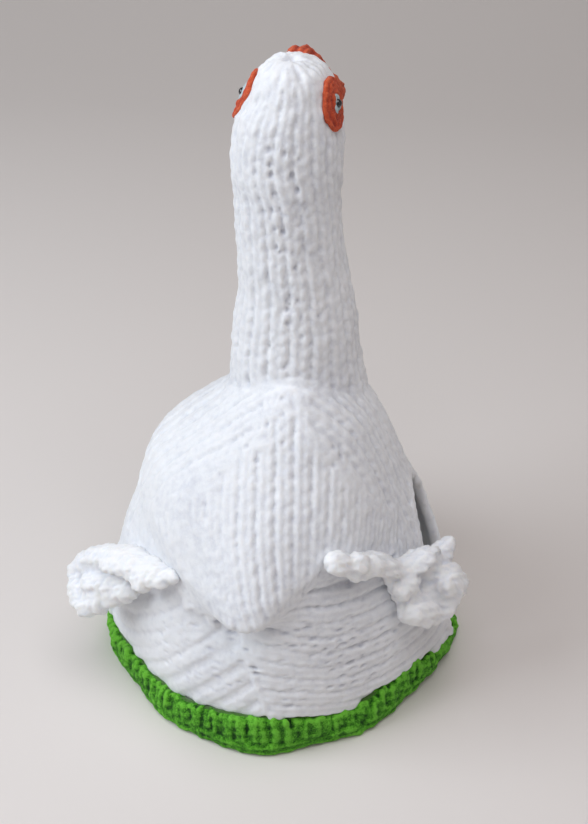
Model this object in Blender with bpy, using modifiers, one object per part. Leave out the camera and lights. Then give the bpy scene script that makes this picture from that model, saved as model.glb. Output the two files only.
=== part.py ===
"""A hand-knitted goose tea cosy.

A hollow body of two knitted panels stands on a grass-green garter border. It is open at
both sides, for the teapot's spout and handle. A stuffed neck and head rises from its
crown, with an orange bill and sewn-on eyes, and a frilled wing is sewn to each flank.

Metres, +Z up. The tail points along -Y, the spout opening along +X, and the hem lies on
z = 0 with the object's box centred over the origin.
"""

import math

import bmesh
import bpy
import numpy as np
from mathutils import Matrix, Vector

MM = 0.001

# Cloth and gaps
CLOTH = 4.0 * MM  # one layer of chunky yarn in stocking stitch
BORDER_CLOTH = 5.0 * MM  # garter stitch is thicker, and stands proud outside
GAP = 0.35 * MM  # between two sewn pieces
BORDER_GAP = 0.7 * MM  # between the panels and the border that they are knitted onto
SEAM_Y = 4.0 * MM  # the plane of the side seams, between back and breast
BIG = 400 * MM  # longer than the whole object, for the cutters

# The body's level outlines, from below the hem to the crown.
# height, centre x, centre y, half width, depth to the back, depth to the front, roundness
BODY_LEVELS = [
    (-6, 3.2, 4.5, 87.0, 86.6, 80.5, 1.60),
    (8, 3.2, 4.5, 86.8, 87.0, 81.5, 1.60),
    (24, 2.8, 4.0, 85.3, 87.2, 83.5, 1.64),
    (45, 2.0, 4.0, 82.0, 84.5, 84.0, 1.72),
    (64, 2.3, 3.0, 76.0, 79.5, 81.0, 1.82),
    (79, 2.0, 3.0, 70.0, 76.5, 74.5, 1.90),
    (92, 1.5, 2.0, 64.0, 72.0, 67.0, 1.95),
    (104, 1.0, 2.0, 59.5, 67.5, 59.5, 2.00),
    (114, 1.5, 2.0, 55.5, 63.0, 51.0, 2.00),
    (123, 4.0, 2.0, 49.5, 57.5, 42.0, 2.00),
    (132, 7.0, 2.0, 42.5, 51.5, 34.0, 2.00),
    (140, 10.0, 1.0, 35.5, 45.0, 27.5, 2.00),
    (148, 11.0, 0.0, 27.5, 38.0, 21.0, 2.00),
    (154, 11.5, -3.0, 20.0, 29.0, 15.5, 2.00),
    (159, 11.5, -8.0, 11.5, 18.5, 9.5, 2.00),
    (161.5, 11.5, -12.0, 3.5, 6.0, 4.0, 2.00),
]
TIP_ROUND = 0.12  # rounds off the outlines where they turn behind and in front
BODY_COLUMNS = 66
BODY_ROWS_PER_LEVEL = 2.1
TAIL_CROWDING = 0.42  # how much closer together the columns are at the tail

# The tail: a pointed fold where the back cloth overhangs the flanks.
TAIL_ANGLE = math.radians(-92.6)
TAIL_TIP_Z = 80 * MM
TAIL_REACH = 11.0 * MM
TAIL_WIDTH = math.radians(13)
LEDGE_REACH = 3.5 * MM  # the overhang on both sides of the tail
LEDGE_WIDTH = math.radians(48)
LEDGE_FULL = 0.5  # share of that width over which the overhang keeps its reach
LEDGE_RISE = 22 * MM  # how much higher the overhang ends than the tail's tip
FOLD_ABOVE = 52 * MM  # the fold swells over this height
FOLD_BELOW = 15 * MM  # and tucks in again over this one

# The grass border: angle in degrees and height of its knitted-on edge. It is drawn together
# under the openings.
BORDER_TOP = [
    (-180, 6.0),
    (-168, 10.0),
    (-158, 14.0),
    (-148, 16.5),
    (-134, 15.5),
    (-120, 15.5),
    (-110, 18.0),
    (-98, 21.5),
    (-87, 22.5),
    (-79, 20.5),
    (-68, 17.0),
    (-58, 16.0),
    (-50, 18.5),
    (-42, 20.5),
    (-33, 21.5),
    (-25, 17.0),
    (-18, 12.5),
    (-8, 8.0),
    (0, 6.0),
    (20, 12.0),
    (35, 18.0),
    (60, 19.0),
    (90, 21.0),
    (120, 19.0),
    (145, 18.0),
    (162, 12.0),
    (180, 6.0),
]
BORDER_PROUD = 1.2 * MM
BORDER_BELOW = 3 * MM  # it is made this far past the floor and cut off flat there
BORDER_ROWS = 4
RUFFLE = 1.1 * MM
RUFFLES = 11

# Side openings, egg-shaped, as seen along X
# height, half width
SPOUT_OPENING = [
    (4, 2.0),
    (12, 9.5),
    (25, 14.0),
    (45, 19.0),
    (62, 23.0),
    (74, 22.5),
    (86, 16.0),
    (94, 7.0),
    (97, 1.5),
]
HANDLE_OPENING = [
    (4, 2.0),
    (12, 9.0),
    (25, 13.0),
    (45, 17.0),
    (64, 19.0),
    (82, 18.0),
    (96, 12.5),
    (104, 6.0),
    (107, 1.5),
]
OPENING_REACH = (20 * MM, 140 * MM)  # the cutters run out from inside the body past its side

# Neck and head: height, centre x, centre y, half width, depth to the back, depth to the front
NECK_LEVELS = [
    (126, 11.6, 6.0, 31.0, 30.5, 29.5),
    (144, 11.6, 6.0, 30.0, 29.5, 29.0),
    (155, 11.0, 6.0, 28.4, 27.8, 27.8),
    (166, 10.3, 6.0, 27.2, 26.2, 26.2),
    (179, 10.5, 6.0, 25.8, 24.8, 24.8),
    (194, 10.2, 6.0, 23.4, 23.0, 23.0),
    (208, 8.6, 6.0, 22.2, 22.0, 22.0),
    (222, 7.4, 6.0, 21.4, 21.2, 21.2),
    (236, 6.9, 6.4, 21.2, 21.2, 21.6),
    (247, 6.6, 7.0, 21.9, 22.0, 23.6),
    (258, 6.8, 7.6, 21.6, 22.0, 26.0),
    (267, 7.2, 7.8, 20.2, 21.0, 26.2),
    (275, 8.4, 7.8, 17.8, 19.2, 24.4),
    (282, 9.2, 7.4, 15.4, 16.8, 21.2),
    (288, 8.8, 7.0, 11.8, 13.2, 15.8),
    (292, 7.6, 6.8, 4.8, 5.8, 6.8),
]
NECK_COLUMNS = 32
NECK_ROWS_PER_LEVEL = 1.7
HEAD_TURN = math.radians(-12)  # the head looks a little towards the spout
TURN_FROM, TURN_OVER = 225 * MM, 30 * MM  # height where the turn starts, and how fast it comes

# Eyes: an oval patch, an iris and a bead on each side of the head
EYE_Z = 275.5 * MM
EYE_BACK = math.radians(6)  # how far behind the side of the head they sit
PATCH_HALF_ANGLE = math.radians(24)
PATCH_HALF_HEIGHT = 9.8 * MM
PATCH_THICK = 2.0 * MM
IRIS_HALF_ANGLE = math.radians(11)
IRIS_HALF_HEIGHT = 4.0 * MM
IRIS_THICK = 1.0 * MM
PUPIL_RADIUS = 2.1 * MM
PUPIL_HEIGHT = 2.0 * MM  # the bead is sunk in the yarn, so it stands up this far
EYE_ANGLES = {"right": -EYE_BACK, "left": math.pi + EYE_BACK}

# Bill: distance ahead of the head's axis, centre height, half width, half height, shift sideways (the knob
# on the brow sits a little left of the middle)
BILL_SECTIONS = [
    (14, 271.0, 9.5, 13.0, -4.0),
    (24, 272.0, 9.5, 14.0, -4.0),
    (31, 271.2, 9.8, 13.0, -3.2),
    (37, 266.4, 10.2, 10.8, -1.4),
    (45, 261.5, 10.4, 8.6, 0.0),
    (53, 258.5, 9.4, 6.8, 0.0),
    (60, 256.5, 7.4, 5.0, 0.0),
    (63.5, 255.8, 4.0, 2.8, 0.0),
]
BILL_SIDES = 18

# Wings: each grows from a line on the flank and curls over into rounded feather tips
WING_THICK = 5.0 * MM
WING_ROOT_SINK = 1.5 * MM  # the root starts this far inside, and is trimmed to the cloth
# x and height of the root on the back, length, then in degrees: the lift above level where
# the cloth leaves the body, the turn from root to tip, and the lean towards the opening
RIGHT_WING = [
    (30, 98, 9, 40, -160, 10),
    (39, 93.5, 12, 40, -155, 10),
    (47, 88.5, 14, 36, -135, 12),
    (53, 81, 15, 24, -110, 20),
    (59, 72, 26, 46, -50, 42),
    (63, 63, 27, 18, -55, 38),
    (66, 55, 14, -30, -50, 8),
]
LEFT_WING = [
    (-36, 80, 9, 30, -120, 10),
    (-46, 79, 17, 26, -120, 15),
    (-55, 75, 26, 16, -90, 25),
    (-62, 68, 32, -10, -60, 36),
    (-66, 56, 34.5, -38, -30, 26),
]
FEATHERS = 4
WING_STEPS_ALONG = 24
WING_STEPS_OUT = 8
FEATHER_DEPTH = 0.30  # share of the length cut away between two feather tips
FEATHER_ROUND = 0.6
CURL_LATE = 1.5  # the turn gathers towards the tips

WHITE = (0.86, 0.86, 0.87, 1)
GREEN = (0.14, 0.42, 0.05, 1)
ORANGE = (0.80, 0.13, 0.03, 1)
GREY_BLUE = (0.42, 0.50, 0.56, 1)
BLACK = (0.01, 0.01, 0.012, 1)


def clear_scene():
    for old in list(bpy.data.objects):
        bpy.data.objects.remove(old, do_unlink=True)


def new_collection(name):
    collection = bpy.data.collections.new(name)
    bpy.context.scene.collection.children.link(collection)
    return collection


def yarn(name, colour, roughness=0.9):
    """A plain wool-like material, or a shiny one with a low roughness."""
    material = bpy.data.materials.new(name)
    material.use_nodes = True
    shader = material.node_tree.nodes["Principled BSDF"]
    shader.inputs["Base Color"].default_value = colour
    shader.inputs["Roughness"].default_value = roughness
    shader.inputs["Metallic"].default_value = 0.0
    return material


def smooth_table(rows, at):
    """Rows of a table, read between them on a smooth curve that doesn't overshoot."""
    rows = np.array(rows, float)
    at = np.clip(np.atleast_1d(at), 0, len(rows) - 1)
    steps = np.diff(rows, axis=0)
    slopes = np.zeros_like(rows)
    slopes[0], slopes[-1] = steps[0], steps[-1]
    before, after = steps[:-1], steps[1:]
    same_way = before * after > 0
    slopes[1:-1] = np.where(same_way, 2 * before * after / np.where(same_way, before + after, 1), 0)
    low = np.minimum(at.astype(int), len(rows) - 2)
    f = (at - low)[:, None]
    start = (1 + 2 * f) * (1 - f) ** 2 * rows[low] + f * (1 - f) ** 2 * slopes[low]
    end = f**2 * (3 - 2 * f) * rows[low + 1] + f**2 * (f - 1) * slopes[low + 1]
    return start + end


def level_at_height(rows, height):
    """The place in a table, counted in rows, of a height in metres."""
    fine = np.linspace(0, len(rows) - 1, 40 * len(rows))
    heights = smooth_table(rows, fine)[:, 0] * MM
    return float(np.interp(height, heights, fine))


def ease(x):
    """0 below 0, 1 above 1, and a smooth step between."""
    x = np.clip(x, 0, 1)
    return x * x * (3 - 2 * x)


def tail_fold(angle, height):
    """How far the back cloth stands out over the dome, at an angle and a height."""
    off = (angle - TAIL_ANGLE + math.pi) % (2 * math.pi) - math.pi
    tail = TAIL_REACH * math.exp(-((off / TAIL_WIDTH) ** 2))
    ledge = LEDGE_REACH * (1 - ease(abs(off) / LEDGE_WIDTH - LEDGE_FULL))
    ridge = TAIL_TIP_Z + LEDGE_RISE * ease(abs(off) / LEDGE_WIDTH)
    if height > ridge:
        swell = 1 - ease((height - ridge) / FOLD_ABOVE)
    else:
        swell = 1 - ease((ridge - height) / FOLD_BELOW)
    return (tail + ledge) * swell


def body_point(angle, level, proud=0.0):
    """A point of the body's outer face: angle from +X, level counted in table rows."""
    z, centre_x, centre_y, half, back, front, roundness = smooth_table(BODY_LEVELS, level)[0]
    depth = front if math.sin(angle) > 0 else back
    across = math.hypot(math.cos(angle), TIP_ROUND)
    reach = (across / half) ** roundness + abs(math.sin(angle) / depth) ** roundness
    reach = MM * reach ** (-1 / roundness) + tail_fold(angle, z * MM) + proud
    x = centre_x * MM + reach * math.cos(angle)
    return Vector((x, centre_y * MM + reach * math.sin(angle), z * MM))


def body_normal(angle, level):
    """The outward direction of the body's face."""
    step = 0.02
    around = body_point(angle + step, level) - body_point(angle - step, level)
    up = body_point(angle, level + step) - body_point(angle, level - step)
    return around.cross(up).normalized()


def body_angles():
    """Angles round the body, closer together at the tail."""
    even = np.linspace(0, 2 * math.pi, BODY_COLUMNS, endpoint=False)
    return [a - TAIL_CROWDING * math.sin(a - TAIL_ANGLE) for a in even]


def border_height(angle):
    """The height of the grass border's upper edge at an angle."""
    degrees = (math.degrees(angle) + 180) % 360 - 180
    angles, heights = zip(*BORDER_TOP)
    return float(np.interp(degrees, angles, heights)) * MM


def grid_faces(bm, rows, closed_around):
    """Faces between rows of points, all with the same number of points."""
    for low, high in zip(rows, rows[1:]):
        count = len(low)
        for i in range(count if closed_around else count - 1):
            j = (i + 1) % count
            bm.faces.new((low[i], low[j], high[j], high[i]))


def surface_mesh(name, rows, closed_around=True, close_top=False, close_bottom=False):
    """A mesh from rows of points, bottom row first, with its ends capped if asked."""
    bm = bmesh.new()
    rings = [[bm.verts.new(p) for p in row] for row in rows]
    grid_faces(bm, rings, closed_around)
    if close_top:
        bm.faces.new(rings[-1])
    if close_bottom:
        bm.faces.new(list(reversed(rings[0])))
    mesh = bpy.data.meshes.new(name)
    bm.to_mesh(mesh)
    bm.free()
    mesh.shade_smooth()
    return mesh


def add_object(name, mesh, collection, material=None):
    made = bpy.data.objects.new(name, mesh)
    collection.objects.link(made)
    if material is not None:
        mesh.materials.clear()
        mesh.materials.append(material)
    return made


def add_cutter(name, mesh, collection):
    cutter = add_object(name, mesh, collection)
    cutter.hide_render = True
    cutter.display_type = "WIRE"
    return cutter


def cut(piece, cutter):
    """Takes the cutter's shape out of a piece."""
    boolean = piece.modifiers.new("cut_" + cutter.name, "BOOLEAN")
    boolean.operation = "DIFFERENCE"
    boolean.solver = "EXACT"
    boolean.object = cutter


def thicken(piece, thickness, side):
    """Gives an open surface its thickness: side -1 is inward, 1 outward, 0 both."""
    solid = piece.modifiers.new("cloth", "SOLIDIFY")
    solid.thickness = thickness
    solid.offset = side
    solid.use_even_offset = False


def box_mesh(name, low, high):
    bm = bmesh.new()
    bmesh.ops.create_cube(bm, size=1)
    size = [b - a for a, b in zip(low, high)]
    middle = [(a + b) / 2 for a, b in zip(low, high)]
    bmesh.ops.transform(bm, matrix=Matrix.Translation(middle) @ Matrix.Diagonal((*size, 1)), verts=bm.verts)
    mesh = bpy.data.meshes.new(name)
    bm.to_mesh(mesh)
    bm.free()
    return mesh


def opening_mesh(name, outline, side):
    """An egg-shaped prism that reaches out along X from the middle of the body."""
    steps = np.linspace(0, len(outline) - 1, 3 * len(outline))
    rows = smooth_table(outline, steps)
    right = [(w * MM, z * MM) for z, w in rows]
    left = [(-y, z) for y, z in reversed(right)]
    loop = right + left
    ends = sorted(side * reach for reach in OPENING_REACH)
    rows = [[(x, SEAM_Y + y, z) for y, z in loop] for x in ends]
    mesh = surface_mesh(name, rows, close_top=True, close_bottom=True)
    bm = bmesh.new()
    bm.from_mesh(mesh)
    bmesh.ops.recalc_face_normals(bm, faces=bm.faces)
    bm.to_mesh(mesh)
    bm.free()
    return mesh


def panel_mesh():
    """The white cloth of the body, from the top of the border to the crown."""
    angles = body_angles()
    top = len(BODY_LEVELS) - 1
    starts = [level_at_height(BODY_LEVELS, border_height(a) + BORDER_GAP) for a in angles]
    count = round(BODY_ROWS_PER_LEVEL * top)
    rows = []
    for k in range(count + 1):
        share = k / count
        rows.append([body_point(a, s + (top - s) * share) for a, s in zip(angles, starts)])
    return surface_mesh("panel", rows, close_top=True)


def envelope_mesh():
    """The body's outer form with the sewing gap added, to trim what is sewn onto it."""
    angles = body_angles()
    top = len(BODY_LEVELS) - 1
    count = round(BODY_ROWS_PER_LEVEL * top)
    rows = []
    for k in range(count + 1):
        level = top * k / count
        rows.append([body_point(a, level) + body_normal(a, min(level, top - 0.05)) * GAP for a in angles])
    return surface_mesh("body_envelope", rows, close_top=True, close_bottom=True)


def border_mesh():
    """The grass border's outer face, from just under the floor to its knitted-on edge."""
    angles = body_angles()
    rows = []
    for k in range(BORDER_ROWS + 1):
        row = []
        for a in angles:
            low, high = -BORDER_BELOW, border_height(a)
            z = low + (high - low) * k / BORDER_ROWS
            ruffle = RUFFLE * math.sin(RUFFLES * a) * (1 - k / BORDER_ROWS)
            row.append(body_point(a, level_at_height(BODY_LEVELS, z), BORDER_PROUD + ruffle))
        rows.append(row)
    return surface_mesh("border", rows)


def neck_point(angle, level, proud=0.0):
    """A point of the neck's or the head's face; the head is turned about its axis."""
    z, centre_x, centre_y, half, back, front = smooth_table(NECK_LEVELS, level)[0]
    depth = front if math.sin(angle) > 0 else back
    x, y = (half + proud / MM) * math.cos(angle), (depth + proud / MM) * math.sin(angle)
    turn = HEAD_TURN * ease((z * MM - TURN_FROM) / TURN_OVER)
    x, y = x * math.cos(turn) - y * math.sin(turn), x * math.sin(turn) + y * math.cos(turn)
    return Vector(((centre_x + x) * MM, (centre_y + y) * MM, z * MM))


def neck_normal(angle, level):
    step = 0.02
    around = neck_point(angle + step, level) - neck_point(angle - step, level)
    up = neck_point(angle, level + step) - neck_point(angle, level - step)
    return around.cross(up).normalized()


def neck_mesh(name="neck", proud=0.0):
    angles = np.linspace(0, 2 * math.pi, NECK_COLUMNS, endpoint=False)
    top = len(NECK_LEVELS) - 1
    count = round(NECK_ROWS_PER_LEVEL * top)
    rows = []
    for k in range(count + 1):
        level = top * k / count
        near = min(level, top - 0.05)
        rows.append([neck_point(a, level) + neck_normal(a, near) * proud for a in angles])
    return surface_mesh(name, rows, close_top=True, close_bottom=True)


def head_disc_mesh(name, side, half_angle, half_height, lift, rings, spokes):
    """An oval sheet that lies on the side of the head, lifted off it by a distance."""
    middle = EYE_ANGLES[side]
    bm = bmesh.new()
    loops = []
    for r in range(1, rings + 1):
        share = r / rings
        loop = []
        for k in range(spokes):
            around = 2 * math.pi * k / spokes
            angle = middle + half_angle * share * math.cos(around)
            level = level_at_height(NECK_LEVELS, EYE_Z + half_height * share * math.sin(around))
            loop.append(bm.verts.new(neck_point(angle, level) + neck_normal(angle, level) * lift))
        loops.append(loop)
    level = level_at_height(NECK_LEVELS, EYE_Z)
    centre = bm.verts.new(neck_point(middle, level) + neck_normal(middle, level) * lift)
    first = loops[0]
    for k in range(spokes):
        bm.faces.new((centre, first[k], first[(k + 1) % spokes]))
    grid_faces(bm, loops, closed_around=True)
    bmesh.ops.recalc_face_normals(bm, faces=bm.faces)
    bm.faces.ensure_lookup_table()
    if bm.faces[0].normal.dot(neck_normal(middle, level)) < 0:
        bmesh.ops.reverse_faces(bm, faces=bm.faces)
    mesh = bpy.data.meshes.new(name)
    bm.to_mesh(mesh)
    bm.free()
    mesh.shade_smooth()
    return mesh


def add_eye(side, collection, materials):
    """A patch, an iris on it and a bead on that."""
    patch = head_disc_mesh("patch", side, PATCH_HALF_ANGLE, PATCH_HALF_HEIGHT, GAP, 4, 20)
    patch = add_object("eye_patch_" + side, patch, collection, materials["orange"])
    thicken(patch, PATCH_THICK, 1)
    lift = GAP + PATCH_THICK + GAP
    iris = head_disc_mesh("iris", side, IRIS_HALF_ANGLE, IRIS_HALF_HEIGHT, lift, 2, 14)
    iris = add_object("iris_" + side, iris, collection, materials["grey_blue"])
    thicken(iris, IRIS_THICK, 1)
    bm = bmesh.new()
    bmesh.ops.create_uvsphere(bm, u_segments=12, v_segments=8, radius=PUPIL_RADIUS)
    bmesh.ops.scale(bm, vec=(1, 1, PUPIL_HEIGHT / (2 * PUPIL_RADIUS)), verts=bm.verts)
    mesh = bpy.data.meshes.new("bead")
    bm.to_mesh(mesh)
    bm.free()
    mesh.shade_smooth()
    pupil = add_object("pupil_" + side, mesh, collection, materials["bead"])
    level = level_at_height(NECK_LEVELS, EYE_Z)
    outward = neck_normal(EYE_ANGLES[side], level)
    lift += IRIS_THICK + GAP + PUPIL_HEIGHT / 2
    pupil.location = neck_point(EYE_ANGLES[side], level) + outward * lift
    pupil.rotation_euler = outward.to_track_quat("Z", "Y").to_euler()


def bill_mesh():
    """The bill with the knob on its brow, as ovals along the way that the head looks."""
    rows = []
    steps = np.linspace(0, len(BILL_SECTIONS) - 1, 2 * len(BILL_SECTIONS) - 1)
    level = level_at_height(NECK_LEVELS, EYE_Z)
    axis = (neck_point(0, level) + neck_point(math.pi, level)) / 2
    ahead = Vector((-math.sin(HEAD_TURN), math.cos(HEAD_TURN), 0))
    across = Vector((math.cos(HEAD_TURN), math.sin(HEAD_TURN), 0))
    for distance, z, half_width, half_height, sideways in smooth_table(BILL_SECTIONS, steps) * MM:
        row = []
        for k in range(BILL_SIDES):
            a = -2 * math.pi * k / BILL_SIDES
            p = axis + ahead * distance + across * (sideways + half_width * math.cos(a))
            row.append(Vector((p.x, p.y, z + half_height * math.sin(a))))
        rows.append(row)
    return surface_mesh("bill", rows, close_top=True, close_bottom=True)


def wing_mesh(name, wing):
    """A sheet that leaves the flank along its root and curls over, feather by feather."""
    columns = []
    for i in range(WING_STEPS_ALONG + 1):
        share = i / WING_STEPS_ALONG
        x, z, length, lift, curl, lean = smooth_table(wing, share * (len(wing) - 1))[0]
        level = level_at_height(BODY_LEVELS, z * MM)
        angle = angle_at_x(x * MM, level)
        outward = body_normal(angle, level)
        upward = (Vector((0, 0, 1)) - outward * outward.z).normalized()
        sideways = upward.cross(outward) * math.copysign(1, x)
        lean = math.radians(lean)
        away = outward * math.cos(lean) + sideways * math.sin(lean)
        tip = abs(math.sin(math.pi * FEATHERS * share))
        length *= MM * (1 - FEATHER_DEPTH * (1 - tip**FEATHER_ROUND))
        column = [body_point(angle, level) - outward * WING_ROOT_SINK]
        step = (length + WING_ROOT_SINK) / WING_STEPS_OUT
        for k in range(WING_STEPS_OUT):
            turn = math.radians(lift + curl * ((k + 0.5) / WING_STEPS_OUT) ** CURL_LATE)
            column.append(column[-1] + (away * math.cos(turn) + upward * math.sin(turn)) * step)
        columns.append(column)
    return surface_mesh(name, columns, closed_around=False)


def angle_at_x(x, level):
    """The angle on the body's back half at which its face has a given x."""
    angles = np.linspace(-math.pi, 0, 361)
    xs = [body_point(a, level).x for a in angles]
    return float(np.interp(x, xs, angles))


def build():
    clear_scene()
    parts = new_collection("goose_tea_cosy")
    cutters = new_collection("cutters")
    materials = {
        "white": yarn("white_yarn", WHITE),
        "green": yarn("grass_yarn", GREEN),
        "orange": yarn("orange_yarn", ORANGE),
        "grey_blue": yarn("grey_blue_yarn", GREY_BLUE),
        "bead": yarn("black_bead", BLACK, 0.2),
    }

    floor = add_cutter("floor", box_mesh("floor", (-BIG, -BIG, -BIG), (BIG, BIG, 0)), cutters)
    halves = {
        "body_back": box_mesh("front_half", (-BIG, SEAM_Y - GAP / 2, -BIG), (BIG, BIG, BIG)),
        "body_front": box_mesh("back_half", (-BIG, -BIG, -BIG), (BIG, SEAM_Y + GAP / 2, BIG)),
    }
    spout = add_cutter("spout", opening_mesh("spout", SPOUT_OPENING, 1), cutters)
    handle = add_cutter("handle", opening_mesh("handle", HANDLE_OPENING, -1), cutters)
    envelope = add_cutter("body_envelope", envelope_mesh(), cutters)
    head_envelope = add_cutter("head_envelope", neck_mesh("head_envelope", GAP), cutters)

    for name, half in halves.items():
        panel = add_object(name, panel_mesh(), parts, materials["white"])
        thicken(panel, CLOTH, -1)
        cut(panel, spout)
        cut(panel, handle)
        cut(panel, add_cutter(name + "_trim", half, cutters))

    border = add_object("grass_border", border_mesh(), parts, materials["green"])
    thicken(border, BORDER_CLOTH, -1)
    cut(border, floor)

    neck = add_object("neck_head", neck_mesh(), parts, materials["white"])
    cut(neck, envelope)

    bill = add_object("bill", bill_mesh(), parts, materials["orange"])
    cut(bill, head_envelope)

    for side in EYE_ANGLES:
        add_eye(side, parts, materials)

    for name, wing in (("wing_left", LEFT_WING), ("wing_right", RIGHT_WING)):
        piece = add_object(name, wing_mesh(name, wing), parts, materials["white"])
        thicken(piece, WING_THICK, 0)
        cut(piece, envelope)


build()
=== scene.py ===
"""The goose tea cosy's looks.

The white stocking stitch, the border's ribs, the eye patches and the bill start as closed
strands on the surfaces of the frame's solids. A voxel remesh melts them, with a layer between
them, into one soft felted surface. The wings are rounded lumps round a soft core and have no
stitches. A thin cloth lies under the body and the border. Lengths are in millimetres up to the
moment a mesh is made.
"""

import math

import bpy
import bmesh
import numpy as np
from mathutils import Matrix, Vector


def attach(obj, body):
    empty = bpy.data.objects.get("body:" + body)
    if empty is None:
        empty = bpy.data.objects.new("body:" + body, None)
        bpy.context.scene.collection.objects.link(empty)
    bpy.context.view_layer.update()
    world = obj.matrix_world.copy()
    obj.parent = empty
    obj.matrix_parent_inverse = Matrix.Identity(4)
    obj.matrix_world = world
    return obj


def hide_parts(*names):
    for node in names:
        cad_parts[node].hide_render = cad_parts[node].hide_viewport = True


MM = 0.001
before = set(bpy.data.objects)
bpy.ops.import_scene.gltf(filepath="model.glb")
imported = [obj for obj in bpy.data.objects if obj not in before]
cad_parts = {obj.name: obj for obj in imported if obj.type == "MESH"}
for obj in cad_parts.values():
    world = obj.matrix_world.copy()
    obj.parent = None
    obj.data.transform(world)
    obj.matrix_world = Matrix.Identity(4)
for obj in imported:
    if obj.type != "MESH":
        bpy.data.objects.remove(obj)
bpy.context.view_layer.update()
rng = np.random.default_rng(11)
DEG = math.pi / 180
BODY_TOP, NECK_TOP = 160.8, 291.2  # the last heights at which the faces' directions are read
SPOUT_TOP, HANDLE_TOP = 97, 107

# ---------------------------------------------------------------- surfaces
# height, centre x, centre y, half width, depth to the back, depth to the front, roundness
BODY_LEVELS = [
    (-6, 3.2, 4.5, 87.0, 86.6, 80.5, 1.60),
    (8, 3.2, 4.5, 86.8, 87.0, 81.5, 1.60),
    (24, 2.8, 4.0, 85.3, 87.2, 83.5, 1.64),
    (45, 2.0, 4.0, 82.0, 84.5, 84.0, 1.72),
    (64, 2.3, 3.0, 76.0, 79.5, 81.0, 1.82),
    (79, 2.0, 3.0, 70.0, 76.5, 74.5, 1.90),
    (92, 1.5, 2.0, 64.0, 72.0, 67.0, 1.95),
    (104, 1.0, 2.0, 59.5, 67.5, 59.5, 2.00),
    (114, 1.5, 2.0, 55.5, 63.0, 51.0, 2.00),
    (123, 4.0, 2.0, 49.5, 57.5, 42.0, 2.00),
    (132, 7.0, 2.0, 42.5, 51.5, 34.0, 2.00),
    (140, 10.0, 1.0, 35.5, 45.0, 27.5, 2.00),
    (148, 11.0, 0.0, 27.5, 38.0, 21.0, 2.00),
    (154, 11.5, -3.0, 20.0, 29.0, 15.5, 2.00),
    (159, 11.5, -8.0, 11.5, 18.5, 9.5, 2.00),
    (161.5, 11.5, -12.0, 3.5, 6.0, 4.0, 2.00),
]
TIP_ROUND = 0.12  # rounds off the outlines where they turn behind and in front
TAIL_ANGLE = math.radians(-92.6)
TAIL_TIP_Z, TAIL_REACH, TAIL_WIDTH = 80, 11.0, math.radians(13)
LEDGE_REACH, LEDGE_WIDTH, LEDGE_FULL, LEDGE_RISE = 3.5, math.radians(48), 0.5, 22
FOLD_ABOVE, FOLD_BELOW = 52, 15
# The green border: angle in degrees, height of its upper edge
BORDER_TOP = [
    (-180, 6), (-168, 10), (-158, 14), (-148, 16.5), (-134, 15.5), (-120, 15.5), (-110, 18), (-98, 21.5),
    (-87, 22.5),
    (-79, 20.5), (-68, 17), (-58, 16), (-50, 18.5), (-42, 20.5), (-33, 21.5), (-25, 17), (-18, 12.5),
    (-8, 8), (0, 6),
    (20, 12), (35, 18), (60, 19), (90, 21), (120, 19), (145, 18), (162, 12), (180, 6),
]
SEAM_Y = 4.0
# height, half width of each side opening
SPOUT_OPENING = [(4, 2), (12, 9.5), (25, 14), (45, 19), (62, 23), (74, 22.5), (86, 16), (94, 7), (97, 1.5)]
HANDLE_OPENING = [(4, 2), (12, 9), (25, 13), (45, 17), (64, 19), (82, 18), (96, 12.5), (104, 6), (107, 1.5)]
# height, centre x, centre y, half width, depth to the back, depth to the front
NECK_LEVELS = [
    (126, 11.6, 6.0, 31.0, 30.5, 29.5),
    (144, 11.6, 6.0, 30.0, 29.5, 29.0),
    (155, 11.0, 6.0, 28.4, 27.8, 27.8),
    (166, 10.3, 6.0, 27.2, 26.2, 26.2),
    (179, 10.5, 6.0, 25.8, 24.8, 24.8),
    (194, 10.2, 6.0, 23.4, 23.0, 23.0),
    (208, 8.6, 6.0, 22.2, 22.0, 22.0),
    (222, 7.4, 6.0, 21.4, 21.2, 21.2),
    (236, 6.9, 6.4, 21.2, 21.2, 21.6),
    (247, 6.6, 7.0, 21.9, 22.0, 23.6),
    (258, 6.8, 7.6, 21.6, 22.0, 26.0),
    (267, 7.2, 7.8, 20.2, 21.0, 26.2),
    (275, 8.4, 7.8, 17.8, 19.2, 24.4),
    (282, 9.2, 7.4, 15.4, 16.8, 21.2),
    (288, 8.8, 7.0, 11.8, 13.2, 15.8),
    (292, 7.6, 6.8, 4.8, 5.8, 6.8),
]
HEAD_TURN = math.radians(-12)
EYE_Z, EYE_BACK = 275.5, math.radians(6)
EYE_ANGLES = {"right": -EYE_BACK, "left": math.pi + EYE_BACK}
# distance ahead of the head's axis, centre height, half width, half height, shift sideways
BILL_SECTIONS = [
    (14, 271.0, 9.5, 13.0, -4.0),
    (24, 272.0, 9.3, 14.0, -4.2),
    (31, 271.2, 8.6, 13.0, -4.4),
    (37, 266.4, 9.2, 10.8, -2.6),
    (45, 261.5, 9.7, 8.6, -1.2),
    (53, 258.5, 8.7, 6.8, -1.2),
    (60, 256.5, 6.9, 5.0, -1.0),
    (63.5, 255.8, 4.0, 2.8, -0.8),
]
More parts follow.
